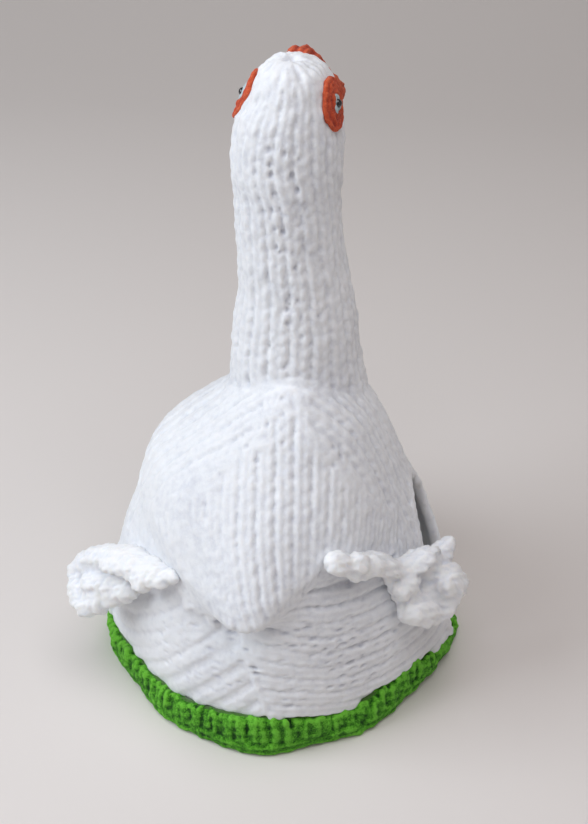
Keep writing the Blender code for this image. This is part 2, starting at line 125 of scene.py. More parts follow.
# x and height of the root, length, lift, curl and lean in degrees
RIGHT_WING = [
    (30, 98, 9, 40, -160, 10),
    (39, 93.5, 12, 40, -155, 10),
    (47, 88.5, 14, 36, -135, 12),
    (53, 81, 15, 24, -110, 20),
    (59, 72, 26, 46, -50, 42),
    (63, 63, 27, 18, -55, 38),
    (66, 55, 14, -30, -50, 8),
]
LEFT_WING = [
    (-36, 80, 9, 30, -120, 10),
    (-46, 79, 17, 26, -120, 15),
    (-55, 75, 26, 16, -90, 25),
    (-62, 68, 32, -10, -60, 36),
    (-66, 56, 34.5, -38, -30, 26),
]
FEATHERS, FEATHER_DEPTH, FEATHER_ROUND, CURL_LATE = 4, 0.30, 0.6, 1.5


def smooth_table(rows, at):
    """Rows of a table, read between them on a smooth curve that doesn't overshoot."""
    rows = np.array(rows, float)
    at = np.clip(np.asarray(at, float), 0, len(rows) - 1)
    steps = np.diff(rows, axis=0)
    slopes = np.zeros_like(rows)
    slopes[0], slopes[-1] = steps[0], steps[-1]
    before, after = steps[:-1], steps[1:]
    same_way = before * after > 0
    slopes[1:-1] = np.where(same_way, 2 * before * after / np.where(same_way, before + after, 1), 0)
    low = np.minimum(at.astype(int), len(rows) - 2)
    f = (at - low)[..., None]
    start = (1 + 2 * f) * (1 - f) ** 2 * rows[low] + f * (1 - f) ** 2 * slopes[low]
    end = f**2 * (3 - 2 * f) * rows[low + 1] + f**2 * (f - 1) * slopes[low + 1]
    return start + end


def read(table, at):
    """A table of two columns, read between its rows on straight lines."""
    table = np.array(table, float)
    return np.interp(at, table[:, 0], table[:, 1])


def degrees_round(a):
    """Angles in degrees from -180 to 180."""
    return (np.degrees(a) + 180) % 360 - 180


def every(p):
    return np.ones(len(p), bool)


def ease(x):
    """A soft step from 0 to 1."""
    x = np.clip(x, 0, 1)
    return x * x * (3 - 2 * x)


def height_reader(rows):
    """A function that gives a table's other columns at any height."""
    fine = np.linspace(0, len(rows) - 1, 1600)
    heights = smooth_table(rows, fine)[:, 0]
    return lambda z: smooth_table(rows, np.interp(z, heights, fine))


body_at = height_reader(BODY_LEVELS)
neck_at = height_reader(NECK_LEVELS)


def tail_fold(a, z):
    off = (a - TAIL_ANGLE + math.pi) % (2 * math.pi) - math.pi
    tail = TAIL_REACH * np.exp(-((off / TAIL_WIDTH) ** 2))
    ledge = LEDGE_REACH * (1 - ease(abs(off) / LEDGE_WIDTH - LEDGE_FULL))
    ridge = TAIL_TIP_Z + LEDGE_RISE * ease(abs(off) / LEDGE_WIDTH)
    swell = np.where(z > ridge, 1 - ease((z - ridge) / FOLD_ABOVE), 1 - ease((ridge - z) / FOLD_BELOW))
    return (tail + ledge) * swell


CREASE = 4.5  # how far the cloth is drawn in under the tail fold
# angle in degrees, share of the crease
CREASE_STRENGTH = [
    (-128, 0), (-116, 0.2), (-105, 0.9), (-98, 1), (-90, 0.7), (-80, 1), (-66, 0.85), (-52, 0.5), (-40, 0),
]
# Where the upper back's wales give way to the flanks': angle, height
FOLD_LINE = [
    (-180, 50), (-155, 56), (-147, 64), (-139, 73), (-130, 77), (-119, 77), (-114, 68), (-106, 66),
    (-100, 68), (-92.6, 72),
    (-88, 76), (-81.5, 84), (-74, 88), (-67, 92), (-58, 90), (-50.5, 85), (-43.5, 79), (-38, 71), (-34, 60),
    (-25, 54), (0, 50),
]


def crease(a, z):
    """The hollow under the fold, deepest a little below it and right of the tail."""
    deg = degrees_round(a)
    below = read(FOLD_LINE, deg) - z
    under = np.exp(-(((below - 4) / 9.0) ** 2))
    over = np.exp(-((4 / 9.0) ** 2) - ((below / 4.0) ** 2))
    return CREASE * read(CREASE_STRENGTH, deg) * np.where(below > 0, under, over)


def body(a, z, proud=0.0):
    """Points of the body's face at angles a and heights z."""
    a, z = np.broadcast_arrays(np.asarray(a, float), np.asarray(z, float))
    t = body_at(z)
    half, n = t[..., 3], t[..., 6]
    depth = np.where(np.sin(a) > 0, t[..., 5], t[..., 4])
    r = ((np.hypot(np.cos(a), TIP_ROUND) / half) ** n + abs(np.sin(a) / depth) ** n) ** (-1 / n)
    r = r + tail_fold(a, z) - crease(a, z) + proud
    return np.stack([t[..., 1] + r * np.cos(a), t[..., 2] + r * np.sin(a), z + 0.0], -1)


def neck(a, z, proud=0.0):
    """Points of the neck's and head's face."""
    a, z = np.broadcast_arrays(np.asarray(a, float), np.asarray(z, float))
    t = neck_at(z)
    depth = np.where(np.sin(a) > 0, t[..., 5], t[..., 4])
    x, y = (t[..., 3] + proud) * np.cos(a), (depth + proud) * np.sin(a)
    turn = HEAD_TURN * ease((z - 225) / 30)
    x, y = x * np.cos(turn) - y * np.sin(turn), x * np.sin(turn) + y * np.cos(turn)
    return np.stack([t[..., 1] + x, t[..., 2] + y, z + 0.0], -1)


def unit(v):
    return v / np.maximum(np.linalg.norm(v, axis=-1, keepdims=True), 1e-9)


def normals(surface, a, z, top):
    """Outward directions of a surface."""
    e = 0.03
    low, high = np.minimum(z, top) - 0.4, np.minimum(z, top) + 0.4
    around = surface(a + e, z) - surface(a - e, z)
    return unit(np.cross(around, surface(a, high) - surface(a, low)))


def wobble(p, scale, seed):
    """Smooth, repeatable unevenness between -1 and 1 at points p."""
    out = np.zeros(p.shape[:-1])
    pick = np.random.default_rng(seed)
    for k in range(5):
        way = pick.normal(size=3)
        way /= np.linalg.norm(way)
        out += np.sin(p @ way * 2 * math.pi / (scale * pick.uniform(0.6, 1.6)) + pick.uniform(0, 6.3))
    return out / 3.2


# ---------------------------------------------------------------- meshes
def make_mesh(name, verts, quads, painted_cavity_shade=None):
    """A smooth mesh in metres from millimetre points and four-cornered faces."""
    mesh = bpy.data.meshes.new(name)
    verts = np.asarray(verts, float).reshape(-1, 3) * MM
    quads = np.asarray(quads, np.int32).reshape(-1, 4)
    mesh.vertices.add(len(verts))
    mesh.vertices.foreach_set("co", verts.ravel())
    mesh.loops.add(quads.size)
    mesh.loops.foreach_set("vertex_index", quads.ravel())
    mesh.polygons.add(len(quads))
    mesh.polygons.foreach_set("loop_start", np.arange(0, quads.size, 4, dtype=np.int32))
    mesh.polygons.foreach_set("loop_total", np.full(len(quads), 4, np.int32))
    # painted shade: a value per point that darkens the colour in hollows and pits
    if painted_cavity_shade is not None:
        colour = mesh.attributes.new("painted_cavity_shade", "FLOAT", "POINT")
        colour.data.foreach_set("value", np.asarray(painted_cavity_shade, float).ravel())
    mesh.update(calc_edges=True)
    mesh.validate()
    mesh.shade_smooth()
    return mesh


def add(name, mesh, material):
    made = bpy.data.objects.new(name, mesh)
    bpy.context.scene.collection.objects.link(made)
    mesh.materials.append(material)
    return made


def ring_faces(rows, cols):
    """Point numbers of closed rings, those of their neighbours round the ring, and the faces."""
    ij = np.arange(rows * cols).reshape(rows, cols)
    near = np.roll(ij, -1, 1)
    return ij, near, np.stack([ij[:-1], near[:-1], near[1:], ij[1:]], -1).reshape(-1, 4)


def sides_of(quads):
    """The edges of four-cornered faces, as pairs of points."""
    return np.concatenate([quads[:, [0, 1]], quads[:, [1, 2]], quads[:, [2, 3]], quads[:, [3, 0]]])


class Yarn:
    """Collects plump closed strands."""

    def __init__(self, sides=8):
        self.sides, self.verts, self.quads, self.count = sides, [], [], 0

    def strands(self, centre, up, half_width, half_height):
        """centre and up are (strands, points, 3); the half sizes are (strands, points)."""
        m, n, s = centre.shape[0], centre.shape[1], self.sides
        along = unit(np.gradient(centre, axis=1))
        side = unit(np.cross(along, up))
        up = unit(np.cross(side, along))
        phi = np.arange(s) * 2 * math.pi / s
        ring = (
            centre[:, :, None]
            + side[:, :, None] * (half_width[..., None] * np.cos(phi))[..., None]
            + up[:, :, None] * (half_height[..., None] * np.sin(phi))[..., None]
        )
        for end in (0, -1):  # closes the ends
            ring[:, end] = ring[:, end].mean(1, keepdims=True) * 0.98 + ring[:, end] * 0.02
        base = np.arange(m)[:, None, None] * n * s
        i = np.arange(n - 1)[None, :, None] * s
        j = np.arange(s)[None, None, :]
        k = (j + 1) % s
        quads = np.stack([base + i + j, base + i + k, base + i + s + k, base + i + s + j], -1)
        rng.random(2 * m)  # unused: the later stitches' unevenness depends on the draws before them
        self.verts.append(ring.reshape(-1, 3))
        self.quads.append(quads.reshape(-1, 4) + self.count)
        self.count += m * n * s

    def solid(self):
        """All strands as one set of points and faces."""
        return np.concatenate(self.verts), np.concatenate(self.quads)


def evaluated(piece):
    """A piece's points and four-cornered faces with its modifiers applied."""
    view = bpy.context.evaluated_depsgraph_get()
    view.update()
    mesh = piece.evaluated_get(view).to_mesh()
    verts = np.empty(len(mesh.vertices) * 3, np.float32)
    mesh.vertices.foreach_get("co", verts)
    sizes = np.empty(len(mesh.polygons), np.int32)
    mesh.polygons.foreach_get("loop_total", sizes)
    corners = np.empty(len(mesh.loops), np.int32)
    mesh.loops.foreach_get("vertex_index", corners)
    assert (sizes == 4).all()
    piece.evaluated_get(view).to_mesh_clear()
    return verts.reshape(-1, 3).astype(float) / MM, corners.reshape(-1, 4)


def smoothed(verts, quads, rounds, amount=0.5, back=0.4):
    """Draws points towards the middle of their neighbours, then partly back, to lose little size."""
    ends = np.unique(np.sort(sides_of(quads), axis=1), axis=0)
    i, j = np.concatenate([ends[:, 0], ends[:, 1]]), np.concatenate([ends[:, 1], ends[:, 0]])
    count = np.maximum(np.bincount(i, minlength=len(verts)), 1)[:, None]
    for _ in range(rounds):
        for share in (amount, -back * amount):
            middle = np.stack([np.bincount(i, verts[j, c], len(verts)) for c in range(3)], 1) / count
            verts = verts + share * (middle - verts)
    return verts


def vertex_normals(verts, quads):
    """Outward directions at the points of a mesh of four-cornered faces."""
    a, b, c, d = (verts[quads[:, k]] for k in range(4))
    face = np.cross(c - a, d - b)
    total = np.zeros_like(verts)
    for k in range(4):
        for axis in range(3):
            total[:, axis] += np.bincount(quads[:, k], face[:, axis], len(verts))
    return unit(total)


def used_only(verts, quads):
    """The points that faces use, the faces in their numbers, and where each point was."""
    used = np.unique(quads)
    lookup = np.zeros(len(verts), np.int64)
    lookup[used] = np.arange(len(used))
    return verts[used], lookup[quads], used


def felt(
    parts, solids, voxel, rounds, material,
    depth=None, floor=-2.2, tufts=(0.0, 4.0), fuzz=0.0, pits=(), lowest=None, calm=None,
):
    """Melts closed strands into one soft surface, and shares it out between pieces.

    parts gives each piece's name and a test of face centres. depth(points) says how far points
    stand outside, and what lies under the floor isn't kept. Tufts and fuzz are coarse and fine
    unevenness in mm, and pits are small dents: x, y, z, radius and depth. calm(points) says how
    far loose fibres hide the stitches, from 0 to 1. Each piece also carries painted shade: its
    colour is darkened in the hollows and in the pits' dents.
    """
    count, verts, quads = 0, [], []
    for v, q in solids:
        verts.append(v)
        quads.append(q + count)
        count += len(v)
    raw = bpy.data.objects.new("raw", make_mesh("raw", np.concatenate(verts), np.concatenate(quads)))
    bpy.context.scene.collection.objects.link(raw)
    remesh = raw.modifiers.new("melt", "REMESH")
    remesh.mode, remesh.voxel_size = "VOXEL", voxel * MM
    verts, quads = evaluated(raw)
    mesh = raw.data
    bpy.data.objects.remove(raw)
    bpy.data.meshes.remove(mesh)
    if depth is not None:
        deep = depth(verts) < floor
        verts, quads, _ = used_only(verts, quads[~deep[quads].all(1)])
    verts = smoothed(verts, quads, rounds)
    if calm is not None:
        still = calm(verts)[:, None]
        verts = verts * (1 - still) + smoothed(verts, quads, 10, 0.6, 0.5) * still
    way = vertex_normals(verts, quads)
    swell = tufts[0] * wobble(verts, tufts[1], 5) + fuzz * (wobble(verts, 2.4, 3) + 0.7 * wobble(verts, 1.5, 4))
    sunk = np.zeros(len(verts))
    for x, y, z, radius, dent in pits:
        stretch = np.array([1, 1, 1.7] if z > 88 else [1.8, 1.8, 0.75])
        near = np.exp(-(((verts - np.array([x, y, z])) / stretch) ** 2).sum(1) / radius**2)
        sunk = np.maximum(sunk, dent * near)
    verts = verts + way * (swell - sunk)[:, None]
    if lowest is not None:
        verts[:, 2] = np.maximum(verts[:, 2], lowest)
    way = vertex_normals(verts, quads)
    # painted shade: the colour follows the relief, darker in the hollows and in the pits' dents, standing in
    # for the shade that falls there
    hollow = ((smoothed(verts, quads, 7, 0.9, 0.0) - verts) * way).sum(1)
    painted_cavity_shade = np.clip(-hollow / 0.4, -1, 1) - np.clip(sunk, 0, 2)
    centre = verts[quads].mean(1)
    made = []
    for name, mine in parts:
        v, q, used = used_only(verts, quads[mine(centre)])
        mesh = make_mesh(name, v, q, painted_cavity_shade=painted_cavity_shade[used])
        mesh.normals_split_custom_set_from_vertices(way[used].tolist())
        made.append(add(name, mesh, material))
    return made


def closed_band(outer, inner):
    """A closed tube-like solid between two rings of rows of points."""
    ij, near, wall = ring_faces(*outer.shape[:2])
    n = ij.size
    upper = np.stack([ij[-1], near[-1], near[-1] + n, ij[-1] + n], -1)
    lower = np.stack([ij[0] + n, near[0] + n, near[0], ij[0]], -1)
    points = np.concatenate([outer.reshape(-1, 3), inner.reshape(-1, 3)])
    return points, np.concatenate([wall, wall[:, ::-1] + n, upper, lower])


def smooth_catmull(rows, n):
    """A short table of control points as n points of a smooth curve."""
    p = np.array(rows, float)
    at = np.linspace(0, len(p) - 1, n)
    i = np.minimum(at.astype(int), len(p) - 2)
    f = (at - i)[:, None]
    a, b, c, d = (p[np.clip(i + k, 0, len(p) - 1)] for k in (-1, 0, 1, 2))
    return 0.5 * (2 * b + (c - a) * f + (2 * a - 5 * b + 4 * c - d) * f**2 + (3 * b - a - 3 * c + d) * f**3)


# One leg of a stocking stitch, for a stitch of width 1 and height 1:
# across, along, height in mm, half width in stitches, half height in mm
LEG = [
    (0.080, -0.56, -1.4, 0.16, 1.1),
    (0.118, -0.22, -0.35, 0.225, 1.55),
    (0.160, 0.14, 0.12, 0.235, 1.75),
    (0.203, 0.50, 0.26, 0.24, 1.8),
    (0.235, 0.86, 0.12, 0.235, 1.75),
    (0.250, 1.20, -0.4, 0.21, 1.5),
    (0.255, 1.52, -1.5, 0.15, 1.05),
]
LEG_SHAPE = smooth_catmull(LEG, 10)


class Wale:
    """A column of stitches along a line of surface points."""

    def __init__(self, points, up, width):
        self.points, self.up = points, up
        self.along = np.concatenate([[0], np.cumsum(np.linalg.norm(np.diff(points, axis=0), axis=1))])
        self.width = np.broadcast_to(np.asarray(width, float), self.along.shape)
        self.length = self.along[-1]

    def read(self, values, s):
        s = np.asarray(s)
        flat = s.ravel()
        if values.ndim == 1:
            return np.interp(flat, self.along, values).reshape(s.shape)
        columns = [np.interp(flat, self.along, values[:, c]) for c in range(3)]
        return np.stack(columns, -1).reshape(s.shape + (3,))


def lay_wale(yarn, wale, row, keep, depth=-1.0, loose=1.0, size=1.0, phase=0.0):
    """Lays stocking stitches along a wale. keep(points) says which stitches stay."""
    count = int(wale.length / row)
    if count < 1:
        return
    step = wale.length / count
    start = (np.arange(count) + phase) * step
    start = start[keep(wale.read(wale.points, np.clip(start + step / 2, 0, wale.length)))]
    if not len(start):
        return
    leg_x, leg_y, leg_z, leg_wide, leg_thick = LEG_SHAPE.T[:, None]
    for side in (-1, 1):
        jitter = rng.normal(0, 1, (len(start), 6)) * loose
        y = start[:, None] + (leg_y * (1 + 0.05 * jitter[:, :1]) + 0.04 * jitter[:, 1:2]) * step
        s = np.clip(y, 0, wale.length)
        up = unit(wale.read(wale.up, s))
        after, before = (wale.read(wale.points, np.clip(s + shift, 0, wale.length)) for shift in (0.5, -0.5))
        ahead = unit(after - before)
        width = wale.read(wale.width, s)
        x = side * leg_x * width * (1 + 0.05 * jitter[:, 2:3]) + 0.02 * width * jitter[:, 3:4]
        high = depth + leg_z * size + 0.16 * jitter[:, 4:5]
        centre = wale.read(wale.points, s) + ahead * (y - s)[..., None]
        centre = centre + unit(np.cross(ahead, up)) * x[..., None] + up * high[..., None]
        fat = 1 + 0.05 * jitter[:, 5:6]
        yarn.strands(centre, up, leg_wide * width * fat, leg_thick * fat * size + 0 * width)


# ---------------------------------------------------------------- materials
def new_material(name, values):
    """A Principled material with these sockets set, its nodes, links and shader."""
    material = bpy.data.materials.new(name)
    material.use_nodes = True
    tree = material.node_tree
    shader = tree.nodes["Principled BSDF"]
    for socket, value in values.items():
        shader.inputs[socket].default_value = value
    return material, tree.nodes, tree.links, shader


def wool(
    name, colour, dark, light,
    bump=0.8, translucent=0.3, reach=0.003, sheen=0.35, relief=0.07, fuzz=0.0006, speckle=0.2,
):
    """Felted wool: fine fibres, soft and broad changes of tone, and painted shade: a darker colour in the
    relief's hollows.
    """
    material, nodes, links, shader = new_material(name, {
        "Base Color": (*colour, 1), "Roughness": 0.85, "Specular IOR Level": 0.2,
        "Sheen Weight": sheen, "Sheen Roughness": 0.6,
        "Subsurface Weight": translucent, "Subsurface Radius": (1.0, 0.9, 0.8), "Subsurface Scale": reach,
    })
    coords = nodes.new("ShaderNodeTexCoord")
    # painted shade from the mesh, higher in hollows and pits
    painted_cavity_shade = nodes.new("ShaderNodeAttribute")
    painted_cavity_shade.attribute_name = "painted_cavity_shade"

    def noise(**inputs):
        made = nodes.new("ShaderNodeTexNoise")
        for key, value in inputs.items():
            made.inputs[key].default_value = value
        links.new(coords.outputs["Object"], made.inputs["Vector"])
        return made.outputs[0]

    def maths(operation, *values):
        made = nodes.new("ShaderNodeMath")
        made.operation = operation
        for socket, value in zip(made.inputs, values):
            if isinstance(value, (int, float)):
                socket.default_value = value
            else:
                links.new(value, socket)
        return made.outputs[0]

    def mixed(*parts):
        """The sum of outputs, each times its share."""
        total = None
        for output, share in parts:
            part = maths("MULTIPLY", output, share)
            total = part if total is None else maths("ADD", total, part)
        return total

    cloud = noise(Scale=260.0, Detail=3.0, Roughness=0.6)
    fibre = noise(Scale=900.0, Detail=4.0, Roughness=0.7, Distortion=1.5)
    broad = noise(Scale=28.0, Detail=2.0)
    ramp = nodes.new("ShaderNodeValToRGB")
    low, high = ramp.color_ramp.elements
    low.position, low.color = 0.20, (*dark, 1)
    high.position, high.color = 0.64, (*light, 1)
    ramp.color_ramp.elements.new(0.42).color = (*colour, 1)
    flecks = maths("SUBTRACT", fibre, 0.5)
    # relief is the share of painted shade from hollows and pits; cloud, broad and flecks are random tone
    tone = mixed((cloud, 0.45), (broad, 0.35), (painted_cavity_shade.outputs["Fac"], relief), (flecks, speckle))
    links.new(tone, ramp.inputs[0])
    links.new(ramp.outputs[0], shader.inputs["Base Color"])
    lumps = nodes.new("ShaderNodeBump")
    lumps.inputs["Strength"].default_value, lumps.inputs["Distance"].default_value = bump, fuzz
    links.new(mixed((fibre, 0.75), (cloud, 0.6)), lumps.inputs["Height"])
    links.new(lumps.outputs[0], shader.inputs["Normal"])
    return material


# each wool's middle, dark and light colour
white_wool = wool(
    "white_wool", (0.80, 0.82, 0.855), (0.64, 0.66, 0.72), (0.87, 0.885, 0.915), bump=0.6, relief=0.10
)
# painted light: the wings' fluffy wool is coloured lighter than the body's white wool, standing in for the
# light that their loose fibres catch and that falls on them
fluff_painted_light = wool(
    "white_fluff_painted_light", (0.89, 0.905, 0.94), (0.77, 0.80, 0.86), (0.93, 0.945, 0.965),
    translucent=0.7, reach=0.005, relief=0.08,
)
base_wool = wool("white_ground", (0.78, 0.79, 0.81), (0.70, 0.71, 0.73), (0.84, 0.85, 0.87))
green_wool = wool(
    "grass_wool", (0.075, 0.35, 0.014), (0.006, 0.06, 0.002), (0.19, 0.62, 0.05),
    bump=1.0, translucent=0.1, sheen=0.03, relief=0.30, fuzz=0.0014, speckle=1.3,
)
orange_wool = wool(
    "orange_wool", (0.60, 0.075, 0.025), (0.32, 0.025, 0.012), (0.74, 0.15, 0.06),
    bump=1.0, translucent=0.05, sheen=0.08, relief=0.24, fuzz=0.0009, speckle=0.8,
)
# painted shade: the cloth behind the border's ridges is a darker green than its yarn, for the shade between the
# ridges
green_painted_shade = wool("grass_cloth_painted_shade", (0.06, 0.17, 0.02), (0.03, 0.09, 0.01), (0.10, 0.25, 0.04), translucent=0.0)
blue_wool = wool(
    "grey_blue_wool", (0.36, 0.50, 0.55), (0.16, 0.26, 0.32), (0.58, 0.69, 0.72), translucent=0.05, relief=0.25
)


def gloss_black(name):
    material, nodes, links, shader = new_material(name, {"Roughness": 0.12, "Coat Weight": 0.5})
    noise = nodes.new("ShaderNodeTexNoise")
    noise.inputs["Scale"].default_value = 1500.0
    ramp = nodes.new("ShaderNodeValToRGB")
    for element, colour in zip(ramp.color_ramp.elements, ((0.004, 0.004, 0.005, 1), (0.02, 0.02, 0.024, 1))):
        element.color = colour
    links.new(noise.outputs[0], ramp.inputs[0])
    links.new(ramp.outputs[0], shader.inputs["Base Color"])
    return material


bead_gloss = gloss_black("bead_gloss")


# ---------------------------------------------------------------- body
WALE, ROW = 7.8, 5.8
# Decrease lines, where the back's wales end at the sides' wales: height, angle in degrees
BACK_RIGHT_ARM = [
    (55, 0), (80, -18), (97, -30), (112, -42), (126, -55), (132, -61), (140, -71), (148, -82), (158, -87),
    (162, -88),
]
BACK_LEFT_ARM = [
    (50, -180), (70, -165), (85, -155), (100, -144), (114, -132), (128, -117), (136, -112), (141, -108),
    (148, -104.5), (158, -100), (162, -98),
]
FRONT_RIGHT_ARM = [
    (50, 0), (80, 18), (97, 30), (112, 43), (126, 56), (132, 62), (140, 70), (148, 78), (158, 84),
    (162, 86),
]
SEAM_LINE = [(20, -85.5), (29.5, -87.5), (38.8, -88.8), (47.5, -90.8), (54, -93), (70, -96)]  # height, angle


def border_height(a):
    """Where the green border ends, at angles in radians."""
    return read(BORDER_TOP, degrees_round(a))


def angle_height(p):
    """The angle (from -180 to 180 degrees) and height of points near the body."""
    t = body_at(p[..., 2])
    return np.degrees(np.arctan2(p[..., 1] - t[..., 2], p[..., 0] - t[..., 1])), p[..., 2]


def in_opening(p, margin):
    y = abs(p[..., 1] - SEAM_Y)
    spout, handle = read(SPOUT_OPENING, p[..., 2]), read(HANDLE_OPENING, p[..., 2])
    right = (p[..., 0] > 20) & (p[..., 2] < SPOUT_TOP + margin) & (y < spout + margin)
    left = (p[..., 0] < -20) & (p[..., 2] < HANDLE_TOP + margin) & (y < handle + margin)
    return (right | left) & (p[..., 2] > 2)


def under_neck(p, radius=26.0):
    return (p[..., 2] > 125) & (np.hypot(p[..., 0] - 11.6, p[..., 1] - 6.0) < radius)


def common(p):
    a, z = angle_height(p)
    return ~in_opening(p, 2.2) & ~under_neck(p) & (z > border_height(a * DEG) - 0.5)


def fold_height(a):
    """The fold line's height at angles in degrees on the back half."""
    return read(FOLD_LINE, np.where(a > 90, a - 360, a))


def overlap(z):
    """The angle in degrees by which stitches of two directions run over each other."""
    return 2.6 / np.maximum(body_at(z)[..., 3], 8) / DEG


def keep_back(p):
    a, z = angle_height(p)
    b = np.where(a > 90, a - 360, a)
    o = overlap(z)
    between = (b > read(BACK_LEFT_ARM, z) - o) & (b < read(BACK_RIGHT_ARM, z) + o)
    return common(p) & between & (z > fold_height(a)) & (p[..., 1] < SEAM_Y)


def keep_front(p):
    a, z = angle_height(p)
    edge = read(FRONT_RIGHT_ARM, z) - overlap(z)
    return common(p) & (a > edge) & (a < 180 - edge) & (p[..., 1] > SEAM_Y)


def keep_side(p):
    a, z = angle_height(p)
    b = np.where(a > 90, a - 360, a)
    front = p[..., 1] > SEAM_Y
    o = overlap(z)
    edge = read(FRONT_RIGHT_ARM, z) + o
    off_front = (a < edge) | (a > 180 - edge)
    off_back = ((b < read(BACK_LEFT_ARM, z) + o) | (b > read(BACK_RIGHT_ARM, z) - o)) & (z > fold_height(a) - 1)
    return common(p) & np.where(front, off_front, off_back)


def lines_across(centre_x, heights, start, end, count, squeeze):
    """Wales as lines of equal spacing across the cloth: angle at each height for each wale."""
    grid = np.linspace(start, end, 700)
    angles = []
    for z in heights:
        p = body(grid, z)
        s = np.concatenate([[0], np.cumsum(np.linalg.norm(np.diff(p, axis=0), axis=1))])
        way = 1 if p[-1, 0] > p[0, 0] else -1
        middle = np.interp(centre_x(z), p[::way, 0], s[::way])
        want = middle + np.arange(-count, count + 1) * WALE * squeeze(z)
        a = np.interp(want, s, grid)
        a[(want < 1) | (want > s[-1] - 1)] = np.nan
        angles.append(a)
    return np.array(angles)


def body_wale(a, z, width=WALE):
    p = body(a, z)
    return Wale(p, normals(body, a, z, BODY_TOP), width)


MIN_POINTS = 8  # a wale needs more points than this on the cloth
BACK_CENTRE = [(60, 12.5), (93, 12.8), (109, 11.4), (127, 10.6), (155, 9.3), (162, 9.0)]
BACK_SQUEEZE = [(60, 0.84), (80, 0.86), (95, 0.92), (110, 1.0), (162, 1.0)]
FRONT_CENTRE = [(10, 2.0), (104, 2.0), (140, 9.0), (162, 10.5)]
# The flanks' wales run sideways from the slanting seam. Right, then left: the side, how far a wale
# drops along its way, distance between wales, slope, height and size of the stitches
FLANKS = (
    (1, [(0, 0), (10, 2), (20, 5), (30, 8), (40, 10), (60, 12), (80, 13), (160, 14)], 7.9, 0.3, -1.2, 0.9),
    (-1, [(0, 0), (10, 9), (20, 19), (40, 40), (60, 55), (80, 66), (160, 90)], 9.6, 0.95, -1.9, 0.6),
)


def add_wales(wales, heights, angles, keep, width):
    """Adds a wale for each column of angles. width(angles, heights) is its width."""
    for column in angles.T:
        ok = ~np.isnan(column)
        if ok.sum() > MIN_POINTS:
            a, z = column[ok], heights[ok]
            wales.append((body_wale(a, z, width(a, z)), keep))


def side_width(a, z):
    """Where the cloth slopes towards the front or back, the side wales spread further along it."""
    slope = normals(body, a, z, BODY_TOP)[:, 1]
    return WALE / np.sqrt(np.maximum(1 - slope**2, 0.36))


def side_wale(y, heights, start, end):
    """Angles at which the cloth is at a given y, on one side."""
    grid = np.linspace(start, end, 500) * DEG
    way = 1 if start < 0 else -1
    rows = [np.interp(y, body(grid, z)[::way, 1], grid[::way], left=np.nan, right=np.nan) for z in heights]
    return np.array(rows)[:, None]


def flank_wale(k, side, drop, pitch):
    """Angles and heights of the flank's wale number k, from the seam to the side opening."""
    arc = np.linspace(0, 150, 151)
    z = 22 + (k + 0.5) * pitch - read(drop, arc)
    a = np.zeros_like(arc)
    a[0] = read(SEAM_LINE, z[0]) * DEG + side * 2.2 * DEG
    for i in range(1, len(arc)):
        here, there = body(a[i - 1], z[i - 1]), body(a[i - 1] + 0.01, z[i - 1])
        flat = 1.0 if z[i] < 160 else 0
        a[i] = a[i - 1] + side * flat * (arc[i] - arc[i - 1]) * 0.01 / np.linalg.norm(there - here)
    stop = (a > 2 * DEG) if side > 0 else (a < -182 * DEG)
    n = int(np.argmax(stop)) if stop.any() else len(a)
    return a[:n], z[:n]


def flank_keeper(side):
    def keep(p):
        a, z = angle_height(p)
        b = np.where(a > 90, a - 360, a)
        seam = read(SEAM_LINE, z)
        beside = (b > seam + 1.0) if side > 0 else (b < seam - 1.0)
        return common(p) & beside & (z < fold_height(a) + 1.0) & (p[..., 1] < SEAM_Y)

    return keep


def ridge(arm, low, shift, width, keep, top=160):
    """A wale along a line of decreases, shifted a little to its side."""
    z = np.linspace(top, low, 90)
    return body_wale(arm(z) * DEG + shift / np.maximum(body_at(z)[:, 3], 8), z, width), keep


